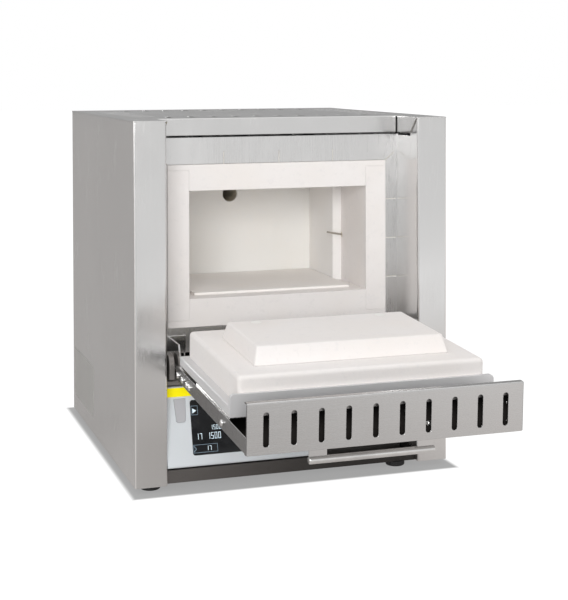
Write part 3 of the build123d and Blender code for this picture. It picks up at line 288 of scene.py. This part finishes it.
def fibre(name, colour, pit=0.35, grain_scale=420, pit_darkening=0.05, round_off=0.0012):
    """Vacuum-formed or cast fibre: matt, with fine pits, soft mottling and rubbed edges."""
    finish = Finish(name)
    fine = finish.noise(grain_scale, 5, rough=0.7)
    pits = finish.noise(140, 4, (1, 1, 1), (4, 9, 2), rough=0.65)
    mottle = finish.noise(16, 3, (1, 1, 1), (1, 6, 3))
    warm = (colour[0] * 0.99, colour[1] * 0.98, colour[2] * 0.965, 1.0)
    tone = finish.mix(finish.spread(mottle, 0.35, 0.68, 0, 1), colour, warm)
    # The pits are a little darker.
    tone = finish.mix(finish.spread(pits, 0.56, 0.72, 0, 1), tone, scaled(colour, 1 - pit_darkening))
    grains = finish.math("MULTIPLY", fine, 0.4)
    height = finish.math("ADD", grains, finish.spread(pits, 0.4, 0.72, 1.0, 0.0))
    finish.feed(
        Base_Color=finish.mix(finish.wear(round_off), tone, scaled(colour, 1.04)),
        Roughness=finish.spread(fine, 0.3, 0.7, 0.86, 0.98),
        Normal=finish.bump(height, pit, 0.0003, finish.soft_edges(round_off)),
    )
    finish.set(Specular_IOR_Level=0.15)
    return finish.material


def plastic(name, colour, roughness, grain_scale=900, bump=0.08, patch=0.06):
    """Moulded plastic, paint or rubber with a fine grain."""
    finish = Finish(name)
    grain = finish.noise(grain_scale, 3)
    wide = finish.noise(20, 2, (1, 1, 1), (5, 2, 8))
    dark = scaled(colour, 1 - patch)
    tone = finish.mix(finish.spread(wide, 0.35, 0.65, 0, 1), colour, dark)
    worn = finish.math("MULTIPLY", finish.wear(PLASTIC_EDGE), 0.5)
    finish.feed(
        Base_Color=finish.mix(worn, tone, scaled(colour, 1.12, 0.01)),
        Roughness=finish.spread(grain, 0.3, 0.7, roughness - 0.06, roughness + 0.08),
        Normal=finish.bump(grain, bump, 0.0001, finish.soft_edges(PLASTIC_EDGE)),
    )
    return finish.material


def glass_black(name):
    """Black cover glass of the display, with faint finger marks."""
    finish = Finish(name)
    smear = finish.noise(70, 4, (1, 1, 1.6), (2, 7, 4))
    smeared = finish.spread(smear, 0.4, 0.7, 0, 1)
    finish.feed(
        Base_Color=finish.mix(smeared, linear(24, 26, 29), linear(31, 33, 36)),
        Roughness=finish.spread(smear, 0.35, 0.75, 0.08, 0.26),
        Normal=finish.soft_edges(0.0003),
    )
    finish.set(Specular_IOR_Level=0.5)
    return finish.material


def lit_mark(name, colour, strength):
    """A lit part of the display picture."""
    finish = Finish(name)
    shimmer = finish.noise(3000, 1)
    tone = finish.mix(shimmer, colour, scaled(colour, 0.8))
    finish.feed(Base_Color=tone, Emission_Color=tone)
    finish.set(Emission_Strength=strength, Roughness=0.4)
    return finish.material


def board_green(name):
    """Circuit board with faint tracks."""
    finish = Finish(name)
    tracks = finish.noise(260, 1, (1, 1, 0.2))
    track = finish.spread(tracks, 0.52, 0.56, 0, 1)
    finish.feed(
        Base_Color=finish.mix(track, linear(18, 74, 48), linear(38, 104, 70)),
        Roughness=finish.spread(tracks, 0.4, 0.6, 0.32, 0.45),
    )
    return finish.material


CASING_BRUSH = (1, 1, 0.012)
DOOR_BRUSH = (0.012, 1, 1)
CASING_TONE = (0.70, 0.695, 0.69, 1)
DARK_TONE = (0.23, 0.215, 0.205, 1)
BOARD_TONE = linear(245, 241, 239)


def yellow_label():
    """The strip along the top of the control housing: matt, with a painted glow that brightens the
    yellow.
    """
    material = plastic("accent_yellow", linear(255, 240, 2), 0.5, patch=0.03)
    shader = shader_of(material)
    shader.inputs["Specular IOR Level"].default_value = 0.2
    # Painted glow: the strip gives off a little light of its own.
    shader.inputs["Emission Color"].default_value = linear(255, 240, 0)
    shader.inputs["Emission Strength"].default_value = 0.24
    return material


# One finish for each material slot of the record: what makes it, its colour and what else it takes
RECIPES = {
    "stainless": (brushed, CASING_TONE, 0.19, CASING_BRUSH, 1.0, 0.75),
    "collar_steel": (brushed, (0.66, 0.655, 0.65, 1), 0.28, CASING_BRUSH, 1.0, 0.5),
    "tray_steel": (brushed, (0.72, 0.715, 0.72, 1), 0.42, DOOR_BRUSH, 0.3),
    "polished_steel": (polished, (0.80, 0.795, 0.785, 1), 0.12),
    "dark_metal": (brushed, DARK_TONE, 0.42, DOOR_BRUSH, 0.8),
    "muffle_fibre": (fibre, BOARD_TONE),
    "door_fibre": (fibre, BOARD_TONE, 0.25, 420, 0.05, 0.002),
    "backup_board": (fibre, linear(238, 235, 229), 0.5, 420, 0.08),
    "heater_ceramic": (fibre, linear(251, 249, 247), 0.15, 900, 0.03),
    "hearth_ceramic": (fibre, linear(253, 250, 247), 0.2, 700, 0.03),
    "tube_ceramic": (plastic, linear(232, 224, 208), 0.45),
    "heater_wire": (brushed, (0.33, 0.30, 0.27, 1), 0.5, (1, 0.05, 1)),
    "probe_metal": (polished, (0.52, 0.49, 0.45, 1), 0.3),
    "housing_white": (plastic, linear(230, 235, 239), 0.38, 900, 0.08, 0.03),
    "display_glass": (glass_black,),
    "board_green": (board_green,),
    "flap_grey": (plastic, linear(198, 198, 202), 0.45),
    "black_plastic": (plastic, linear(26, 26, 27), 0.45, 900, 0.15),
    "terminal_beige": (plastic, linear(206, 196, 170), 0.5),
    "heatsink_aluminium": (brushed, (0.74, 0.75, 0.76, 1), 0.38, (1, 0.02, 1)),
    "foot_rubber": (plastic, linear(28, 28, 29), 0.7, 600, 0.25),
}
FINISHES = {name: maker(name, *values) for name, (maker, *values) in RECIPES.items()}
FINISHES["accent_yellow"] = yellow_label()

# Where the painted shade on the door's side flanges begins and how dark it is, then where the
# painted highlight on the fold round the pillars is and how much brighter it is
FLANGE_SHADE_EDGE = (145.2 * MM, 145.6 * MM)
FLANGE_SHADE_SHARE = 0.34
FOLD_HIGHLIGHT_OUTER = (190.8 * MM, 191.3 * MM)
FOLD_HIGHLIGHT_FRONT = (DEPTH_SHIFT + 1.2 * MM, DEPTH_SHIFT + 1.7 * MM)
FOLD_HIGHLIGHT_GAIN = 0.43


def dress(thing, finish):
    """Gives a mesh one finish."""
    thing.data.materials.clear()
    thing.data.materials.append(finish)


def shaded(material, share):
    """Scales the colour of a finish by a share that is worked out from the place, to paint shade
    or highlight on it.
    """
    tree = material.node_tree
    colour = shader_of(material).inputs["Base Color"]
    tone = colour.links[0].from_socket
    place = coordinates(tree)
    shade = tree.nodes.new("ShaderNodeVectorMath")
    shade.operation = "SCALE"
    tree.links.new(tone, shade.inputs[0])
    tree.links.new(share(tree, place["X"], place["Y"]), shade.inputs["Scale"])
    tree.links.new(shade.outputs[0], colour)
    return material


def door_steel():
    """The door sheet: brushed along its slotted strip, with painted shade that darkens its side
    flanges.
    """
    material = brushed("door_steel", (0.61, 0.605, 0.60, 1), 0.24, DOOR_BRUSH, stretch=0.5)

    # Painted shade on the side flanges: their colour is cut to a share of the rest.
    def flanges(tree, x, y):
        return ranged(tree, worked(tree, "ABSOLUTE", x), *FLANGE_SHADE_EDGE, 1.0, FLANGE_SHADE_SHARE)

    return shaded(material, flanges)


def pan_metal():
    """The base pan: dark paint, with painted shade that makes it darker to the right, where the
    open door shades it.
    """
    material = brushed("pan_metal", DARK_TONE, 0.42, DOOR_BRUSH, metallic=0.8)
    # Painted shade, darker towards the right.
    return shaded(material, lambda tree, x, y: ranged(tree, x, -0.16, 0.10, 0.65, 0.20))


def side_steel():
    """The side panels: brushed upwards, with a painted highlight where the sheet is folded round
    the pillars.
    """
    material = brushed("side_steel", CASING_TONE, 0.19, CASING_BRUSH, stretch=0.75)

    # Painted highlight: the colour is brighter along the fold round the pillars.
    def fold(tree, x, y):
        outer = ranged(tree, worked(tree, "ABSOLUTE", x), *FOLD_HIGHLIGHT_OUTER, 0.0, FOLD_HIGHLIGHT_GAIN)
        front = ranged(tree, y, *FOLD_HIGHLIGHT_FRONT, 1.0, 0.0)
        return worked(tree, "ADD", 1.0, worked(tree, "MULTIPLY", outer, front))

    return shaded(material, fold)


for part in record["subparts"]:
    dress(nodes[part["node"]], FINISHES[part["material_slot"]])
dress(nodes["door_outer_panel"], door_steel())
dress(nodes["base_pan"], pan_metal())
dress(nodes["left_side_panel"], side_steel())
dress(nodes["right_side_panel"], side_steel())
cap_and_lit_wall_fibre = fibre("cap_and_lit_wall_fibre", linear(250, 249, 246), pit=0.15, pit_darkening=0.02)
dress(nodes["door_fibre_caps"], cap_and_lit_wall_fibre)
# Painted light: the rear wall of the chamber takes this paler fibre in place of its own, a lighter
# copy that stands in for light thrown round the chamber.
dress(nodes["muffle_rear_wall"], cap_and_lit_wall_fibre)


# Small pieces

def piece(name, mesh, finish, body):
    """Makes an object of a finished bmesh, gives it a finish and lets it ride on a body."""
    data = bpy.data.meshes.new(name)
    bmesh.ops.recalc_face_normals(mesh, faces=mesh.faces)
    mesh.to_mesh(data)
    mesh.free()
    thing = bpy.data.objects.new(name, data)
    bpy.context.scene.collection.objects.link(thing)
    dress(thing, finish)
    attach(thing, body)


def add_box(mesh, low, high, matrix=Matrix.Identity(4)):
    """A box between two corners, placed by a matrix."""
    middle = [(a + b) / 2 for a, b in zip(low, high)]
    size = [b - a for a, b in zip(low, high)]
    place = matrix @ Matrix.Translation(middle) @ Matrix.Diagonal((*size, 1))
    bmesh.ops.create_cube(mesh, size=1.0, matrix=place)


def panel_matrix(lift):
    """Places (across, up the slope, outwards) on the leaning face, in metres."""
    across = Vector((1, 0, 0))
    matrix = Matrix((across, PANEL_UP, PANEL_OUT)).transposed().to_4x4()
    return Matrix.Translation(PANEL_ORIGIN + PANEL_OUT * lift) @ matrix


# The lit picture floats just off the glass
SCREEN_LIFT = 0.02 * MM
SCREEN_THICK = 0.05 * MM


def screen_bar(mesh, x_range, rise_range):
    """A thin lit bar on the display, in millimetres on the leaning face."""
    low = (x_range[0] * MM, rise_range[0] * MM, 0)
    high = (x_range[1] * MM, rise_range[1] * MM, SCREEN_THICK)
    add_box(mesh, low, high, panel_matrix(SCREEN_LIFT))


def screen_frame(mesh, x_range, rise_range, line):
    """An outlined box on the display."""
    screen_bar(mesh, x_range, (rise_range[0], rise_range[0] + line))
    screen_bar(mesh, x_range, (rise_range[1] - line, rise_range[1]))
    screen_bar(mesh, (x_range[0], x_range[0] + line), rise_range)
    screen_bar(mesh, (x_range[1] - line, x_range[1]), rise_range)


SEGMENTS = {
    "0": "abcdef", "1": "bc", "2": "abged", "3": "abgcd", "4": "fgbc",
    "5": "afgcd", "6": "afgedc", "7": "abc", "8": "abcdefg", "9": "abcdfg",
}


def screen_digits(mesh, text, x, low, high, width, gap, line):
    """A row of plain digits drawn with seven bars each."""
    middle = (low + high) / 2
    for letter in text:
        right = x + width
        places = {
            "a": ((x, right), (high - line, high)),
            "g": ((x, right), (middle - line / 2, middle + line / 2)),
            "d": ((x, right), (low, low + line)),
            "f": ((x, x + line), (middle, high)),
            "e": ((x, x + line), (low, middle)),
            "b": ((right - line, right), (middle, high)),
            "c": ((right - line, right), (low, middle)),
        }
        for segment in SEGMENTS[letter]:
            screen_bar(mesh, *places[segment])
        x = right + gap


def rise(height):
    """Place up the slope of a height above the underside of the casing, in millimetres."""
    return (height - PANEL_START) / math.cos(PANEL_LEAN)


def screen_line(mesh, start, end, line):
    """A thin lit line between two places on the display."""
    along = Vector((end[0] - start[0], end[1] - start[1]))
    turn = Matrix.Rotation(math.atan2(along.y, along.x), 4, "Z")
    place = Matrix.Translation((start[0] * MM, start[1] * MM, 0))
    low = (0, -line / 2 * MM, 0)
    high = (along.length * MM, line / 2 * MM, SCREEN_THICK)
    add_box(mesh, low, high, panel_matrix(SCREEN_LIFT) @ place @ turn)


def screen_arrow(mesh, left, low, high, width):
    """A filled triangle that points to the right."""
    corners = [(left, low), (left + width, (low + high) / 2), (left, high)]
    place = panel_matrix(SCREEN_LIFT)
    points = [mesh.verts.new(place @ Vector((x * MM, y * MM, 0))) for x, y in corners]
    face = mesh.faces.new(points)
    grown = bmesh.ops.extrude_face_region(mesh, geom=[face])["geom"]
    raised = [item for item in grown if isinstance(item, bmesh.types.BMVert)]
    bmesh.ops.translate(mesh, verts=raised, vec=PANEL_OUT * SCREEN_THICK)


def screen_pictures():
    """The lit picture on the display: digits and symbols only."""
    outlines = bmesh.new()
    screen_frame(outlines, (-122.9, -115.0), (rise(74.8), rise(84.8)), 0.4)
    screen_frame(outlines, (-122.9, -94.2), (rise(33.6), rise(42.4)), 0.4)
    screen_line(outlines, (-122.2, rise(41.0)), (-119.4, rise(38.0)), 0.6)
    screen_line(outlines, (-119.4, rise(38.0)), (-122.2, rise(35.0)), 0.6)
    dim = lit_mark("lit_outline", linear(126, 146, 160), 0.45)
    piece("display_outlines", outlines, dim, "furnace_body")
    digits = bmesh.new()
    screen_arrow(digits, -121.4, rise(76.6), rise(82.2), 4.6)
    screen_digits(digits, "1500", -101.2, rise(57.6), rise(62.6), 2.4, 1.0, 0.5)
    screen_digits(digits, "1500", -105.4, rise(47.6), rise(54.6), 3.0, 1.3, 0.6)
    screen_digits(digits, "17", -118.6, rise(48.0), rise(54.4), 2.6, 1.6, 0.6)
    screen_digits(digits, "17", -107.4, rise(35.6), rise(40.6), 2.2, 1.4, 0.55)
    bright = lit_mark("lit_digit", linear(206, 222, 230), 0.8)
    piece("display_digits", digits, bright, "furnace_body")


screen_pictures()


def door_matrix():
    """Places (across, off the outer sheet, along from the hinge) on the open door, in metres."""
    across = Vector((1, 0, 0))
    corner = HINGE_LINE - DOOR_OFF * HINGE_OFF - DOOR_ALONG * HINGE_ALONG
    matrix = Matrix((across, DOOR_OFF, DOOR_ALONG)).transposed().to_4x4()
    return Matrix.Translation(corner) @ matrix


def door_box(mesh, across, off, along):
    """A box on the door between ranges in millimetres."""
    low, high = ([value * MM for value in corner] for corner in zip(across, off, along))
    add_box(mesh, low, high, door_matrix())


def soften(mesh, width, segments=2):
    """Rounds every edge of a mesh by a small width."""
    bmesh.ops.bevel(
        mesh, geom=mesh.edges[:], offset=width, offset_type="OFFSET", segments=segments,
        profile=0.5, affect="EDGES", clamp_overlap=True, material=-1,
    )


# The black sheets that stand in for shade inside the door and behind the slots, in millimetres on
# the door
SHADE_SHEET_WIDTH = (-141, 141)
SHADE_SHEET_TOP = 36.4
SHADE_SHEET_BACK = 275.6


def painted_shade_black():
    """Black that paints the shade inside the door, with painted light: a little greyer low down
    where light comes in through the slots.
    """
    finish = Finish("painted_shade_black")
    grain = finish.noise(1500, 3)
    # Painted light: greyer low down, where light comes in through the slots.
    low = finish.spread(finish.axis("Z"), 132 * MM, 148 * MM, 1.0, 0.0)
    low = finish.math("MULTIPLY", low, finish.spread(grain, 0.3, 0.7, 0.5, 1.0))
    finish.feed(
        Base_Color=finish.mix(low, linear(9, 8, 8), linear(44, 41, 39)),
        Roughness=finish.spread(grain, 0.3, 0.7, 0.8, 0.95),
        Normal=finish.bump(grain, 0.3, 0.0001),
    )
    finish.set(Specular_IOR_Level=0.04)
    return finish.material


def door_shade_sheets():
    """Black sheets put where there is only shade: one inside the door sheet, and one close behind
    the slots.
    """
    mesh = bmesh.new()
    door_box(mesh, SHADE_SHEET_WIDTH, (1.22, 1.7), (7, 273.5))
    door_box(mesh, SHADE_SHEET_WIDTH, (1.22, SHADE_SHEET_TOP), (275.0, SHADE_SHEET_BACK))
    soften(mesh, 0.1 * MM, 1)
    piece("door_shade_sheets", mesh, painted_shade_black(), "door")


def shade_sheet_lip():
    """Bare steel lip along the top of the black shade sheet behind the slots, seen in the tops of
    the slots.
    """
    mesh = bmesh.new()
    door_box(mesh, SHADE_SHEET_WIDTH, (SHADE_SHEET_TOP, 42.5), (275.1, 276.1))
    soften(mesh, 0.2 * MM)
    grey = brushed("shade_sheet_steel", (0.30, 0.29, 0.285, 1), 0.4, DOOR_BRUSH)
    piece("shade_sheet_lip", mesh, grey, "door")


def shade_sheet_clips():
    """Small bright clips at the ends of the black shade sheet behind the slots; one shows through
    the last slot.
    """
    mesh = bmesh.new()
    for side in (-1, 1):
        door_box(mesh, sorted((side * 128.6, side * 135.0)), (28.3, 30.6), (SHADE_SHEET_BACK, 277.4))
        door_box(mesh, sorted((side * 129.6, side * 133.0)), (9.6, 11.4), (SHADE_SHEET_BACK, 276.6))
    soften(mesh, 0.5 * MM)
    piece("shade_sheet_clips", mesh, FINISHES["polished_steel"], "door")


def shade_sheet_screws():
    """Two small screws with washers that hold the black shade sheet behind the slots; one shows
    through a slot.
    """
    mesh = bmesh.new()
    for across in (44.6, -57.0):
        foot = Matrix.Translation((across * MM, 15.0 * MM, SHADE_SHEET_BACK * MM))
        place = door_matrix() @ foot
        bmesh.ops.create_cone(
            mesh, cap_ends=True, segments=24, radius1=2.9 * MM, radius2=2.7 * MM, depth=0.6 * MM,
            matrix=place @ Matrix.Translation((0, 0, 0.3 * MM)),
        )
        dome = Matrix.Translation((0, 0, 0.6 * MM)) @ Matrix.Diagonal((1, 1, 0.75, 1))
        bmesh.ops.create_uvsphere(
            mesh, u_segments=24, v_segments=12, radius=1.9 * MM, matrix=place @ dome,
        )
    piece("shade_sheet_screws", mesh, FINISHES["polished_steel"], "door")


door_shade_sheets()
shade_sheet_lip()
shade_sheet_screws()
shade_sheet_clips()


def blank_plate():
    """The bare plate low at the rear of the left side."""
    mesh = bmesh.new()
    low = (-192.85 * MM, 254 * MM + DEPTH_SHIFT, 28 * MM)
    high = (-192.5 * MM, 391 * MM + DEPTH_SHIFT, 93 * MM)
    add_box(mesh, low, high)
    finish = plastic("plate_silver", linear(176, 174, 171), 0.5, patch=0.04)
    piece("side_plate", mesh, finish, "furnace_body")


blank_plate()


# Floor, light and camera

# The photograph's camera: focal length and horizon in pixels, sensor, place and turns in degrees
PICTURE_PIXELS = 600
FOCAL_PIXELS = 1392.4
HORIZON_PIXEL = 98.0
SENSOR_MM = 36
CAMERA_PLACE = (-0.5214, -1.61533, 0.48095)
CAMERA_PAN = -18.276
CAMERA_TILT = 1.239
CAMERA_ROLL = -0.145

# The soft shadow: the casing's outline, how far past it the shadow goes, and its tones
HALF_WIDTH = 192.5 * MM
HALF_DEPTH = 204 * MM
CASING_MIDDLE = 204 * MM + DEPTH_SHIFT
SHADOW_REACH = (9 * MM, 17 * MM)
SHADOW_SIDE = -7 * MM
SHADOW_FRONT = 6 * MM
SHADE_GLOW = 0.33
SHADE_TONE = (0.10, 0.13)

# The studio: its fill from the horizon up to the top, and what metal mirrors in front and behind
STUDIO_GREY = (0.8, 0.8, 0.8, 1)
STUDIO_FILL = (0.50, 1.05)
STUDIO_FRONT = 0.96
STUDIO_BACK = 0.46


def mixed(tree, factor, first, second):
    """One shader where the factor is 0 and another where it is 1."""
    node = tree.nodes.new("ShaderNodeMixShader")
    for socket, value in zip(node.inputs, (factor, first, second)):
        tree.links.new(value, socket)
    return node.outputs[0]


def added(tree, first, second):
    """Two shaders on top of each other."""
    node = tree.nodes.new("ShaderNodeAddShader")
    tree.links.new(first, node.inputs[0])
    tree.links.new(second, node.inputs[1])
    return node.outputs[0]


def floor_shadow(tree, place):
    """What the camera sees of the floor: white, but for a soft shadow that hugs the casing."""
    across = worked(tree, "ABSOLUTE", place["X"])
    across = worked(tree, "SUBTRACT", across, HALF_WIDTH + SHADOW_SIDE)
    along = worked(tree, "ABSOLUTE", worked(tree, "SUBTRACT", place["Y"], CASING_MIDDLE))
    along = worked(tree, "SUBTRACT", along, HALF_DEPTH + SHADOW_FRONT)
    reach = worked(tree, "MAXIMUM", across, along)
    grain = tree.nodes.new("ShaderNodeTexNoise")
    grain.inputs["Scale"].default_value = 9
    tree.links.new(tree.nodes.new("ShaderNodeTexCoord").outputs["Object"], grain.inputs["Vector"])
    seen = tree.nodes.new("ShaderNodeBsdfDiffuse")
    tree.links.new(ranged(tree, grain.outputs[0], 0, 1, *SHADE_TONE), seen.inputs["Color"])
    glow = tree.nodes.new("ShaderNodeEmission")
    tree.links.new(ranged(tree, reach, *SHADOW_REACH, SHADE_GLOW, 1.0), glow.inputs["Strength"])
    return added(tree, seen.outputs[0], glow.outputs[0])


def floor_mirrored(tree, place):
    """What metal mirrors of the floor: bright far in front, greyer and warmer close by, dimmer
    behind, and a little brighter to the right."""
    strength = summed(
        tree,
        ranged(tree, place["Y"], -0.95, -0.82, 0.47, 0.38),
        ranged(tree, place["Y"], -2.0, -1.4, 0.0, 0.26),
        ranged(tree, place["Y"], -1.28, -1.14, 0.0, -0.20),
        ranged(tree, place["Y"], -0.2, 0.3, 0.0, -0.09),
        ranged(tree, place["X"], -0.05, 0.42, -0.10, 0.12),
    )
    warmth = tree.nodes.new("ShaderNodeMix")
    warmth.data_type = "RGBA"
    warmth.inputs[6].default_value = (1.0, 1.0, 1.0, 1)
    warmth.inputs[7].default_value = (1.0, 0.935, 0.90, 1)
    tree.links.new(ranged(tree, place["Y"], -0.95, -0.80, 0.0, 1.0), warmth.inputs[0])
    sheen = tree.nodes.new("ShaderNodeEmission")
    tree.links.new(warmth.outputs[2], sheen.inputs["Color"])
    tree.links.new(strength, sheen.inputs["Strength"])
    dull = tree.nodes.new("ShaderNodeBsdfDiffuse")
    dull.inputs["Color"].default_value = (0.3, 0.3, 0.3, 1)
    return added(tree, dull.outputs[0], sheen.outputs[0])


def floor():
    """A pale floor, with one look for the camera, one for mirrors and one for other light."""
    mesh = bmesh.new()
    bmesh.ops.create_grid(mesh, x_segments=1, y_segments=1, size=14)
    data = bpy.data.meshes.new("floor")
    mesh.to_mesh(data)
    mesh.free()
    thing = bpy.data.objects.new("floor", data)
    bpy.context.scene.collection.objects.link(thing)
    material = bpy.data.materials.new("floor_paper")
    material.use_nodes = True
    tree = material.node_tree
    tree.nodes.clear()
    place = coordinates(tree)
    plain = tree.nodes.new("ShaderNodeBsdfDiffuse")
    plain.inputs["Color"].default_value = (0.75, 0.745, 0.735, 1)
    path = tree.nodes.new("ShaderNodeLightPath").outputs
    gloss = mixed(tree, path["Is Glossy Ray"], plain.outputs[0], floor_mirrored(tree, place))
    choose = mixed(tree, path["Is Camera Ray"], gloss, floor_shadow(tree, place))
    output = tree.nodes.new("ShaderNodeOutputMaterial")
    tree.links.new(choose, output.inputs["Surface"])
    data.materials.append(material)


def surroundings():
    """White where the camera looks past the furnace, an even fill, and a studio that metal
    mirrors: light in front, grey behind, bright far to the left, dim far to the right."""
    world = bpy.data.worlds.new("studio")
    bpy.context.scene.world = world
    world.use_nodes = True
    tree = world.node_tree
    tree.nodes.clear()
    split = tree.nodes.new("ShaderNodeSeparateXYZ")
    tree.links.new(tree.nodes.new("ShaderNodeTexCoord").outputs["Generated"], split.inputs[0])
    way = split.outputs
    strength = summed(
        tree,
        ranged(tree, way["Y"], -0.6, 0.8, STUDIO_FRONT, STUDIO_BACK),
        ranged(tree, way["X"], -0.93, -0.7, 2.2, 0.0),
        ranged(tree, way["X"], 0.6, 0.9, 0.0, -0.35),
        ranged(tree, way["Z"], 0.72, 0.95, 0.0, 0.8),
    )
    path = tree.nodes.new("ShaderNodeLightPath").outputs
    glossy = path["Is Glossy Ray"]
    mirrored = worked(tree, "MULTIPLY", strength, glossy)
    above = ranged(tree, way["Z"], 0.0, 0.9, *STUDIO_FILL)
    filled = worked(tree, "MULTIPLY", worked(tree, "SUBTRACT", 1.0, glossy), above)
    studio = tree.nodes.new("ShaderNodeBackground")
    studio.inputs["Color"].default_value = STUDIO_GREY
    tree.links.new(worked(tree, "ADD", mirrored, filled), studio.inputs["Strength"])
    white = tree.nodes.new("ShaderNodeBackground")
    white.inputs["Color"].default_value = (1, 1, 1, 1)
    choose = mixed(tree, path["Is Camera Ray"], studio.outputs[0], white.outputs[0])
    output = tree.nodes.new("ShaderNodeOutputWorld")
    tree.links.new(choose, output.inputs["Surface"])


def soft_box(name, place, target, size, energy):
    """A soft rectangular light that faces a target."""
    light = bpy.data.lights.new(name, "AREA")
    light.shape = "RECTANGLE"
    light.size, light.size_y = size
    light.energy = energy
    thing = bpy.data.objects.new(name, light)
    bpy.context.scene.collection.objects.link(thing)
    turn = (Vector(target) - Vector(place)).to_track_quat("-Z", "Y")
    thing.matrix_world = Matrix.Translation(place) @ turn.to_matrix().to_4x4()


def camera():
    """The photograph's camera, from the fit of its corners."""
    data = bpy.data.cameras.new("camera")
    data.lens = FOCAL_PIXELS * SENSOR_MM / PICTURE_PIXELS
    data.sensor_width = SENSOR_MM
    data.shift_y = -(PICTURE_PIXELS / 2 - HORIZON_PIXEL) / PICTURE_PIXELS
    data.clip_end = 60
    thing = bpy.data.objects.new("camera", data)
    bpy.context.scene.collection.objects.link(thing)
    pan = Matrix.Rotation(math.radians(CAMERA_PAN), 4, "Z")
    tilt = Matrix.Rotation(math.radians(90 - CAMERA_TILT), 4, "X")
    roll = Matrix.Rotation(math.radians(CAMERA_ROLL), 4, "Z")
    thing.matrix_world = Matrix.Translation(CAMERA_PLACE) @ pan @ tilt @ roll
    bpy.context.scene.camera = thing


floor()
surroundings()
soft_box("key", (-1.55, -4.0, 1.27), (0, 0, 0.2), (1.9, 1.3), 80)
camera()
bpy.context.scene.view_settings.view_transform = "Standard"
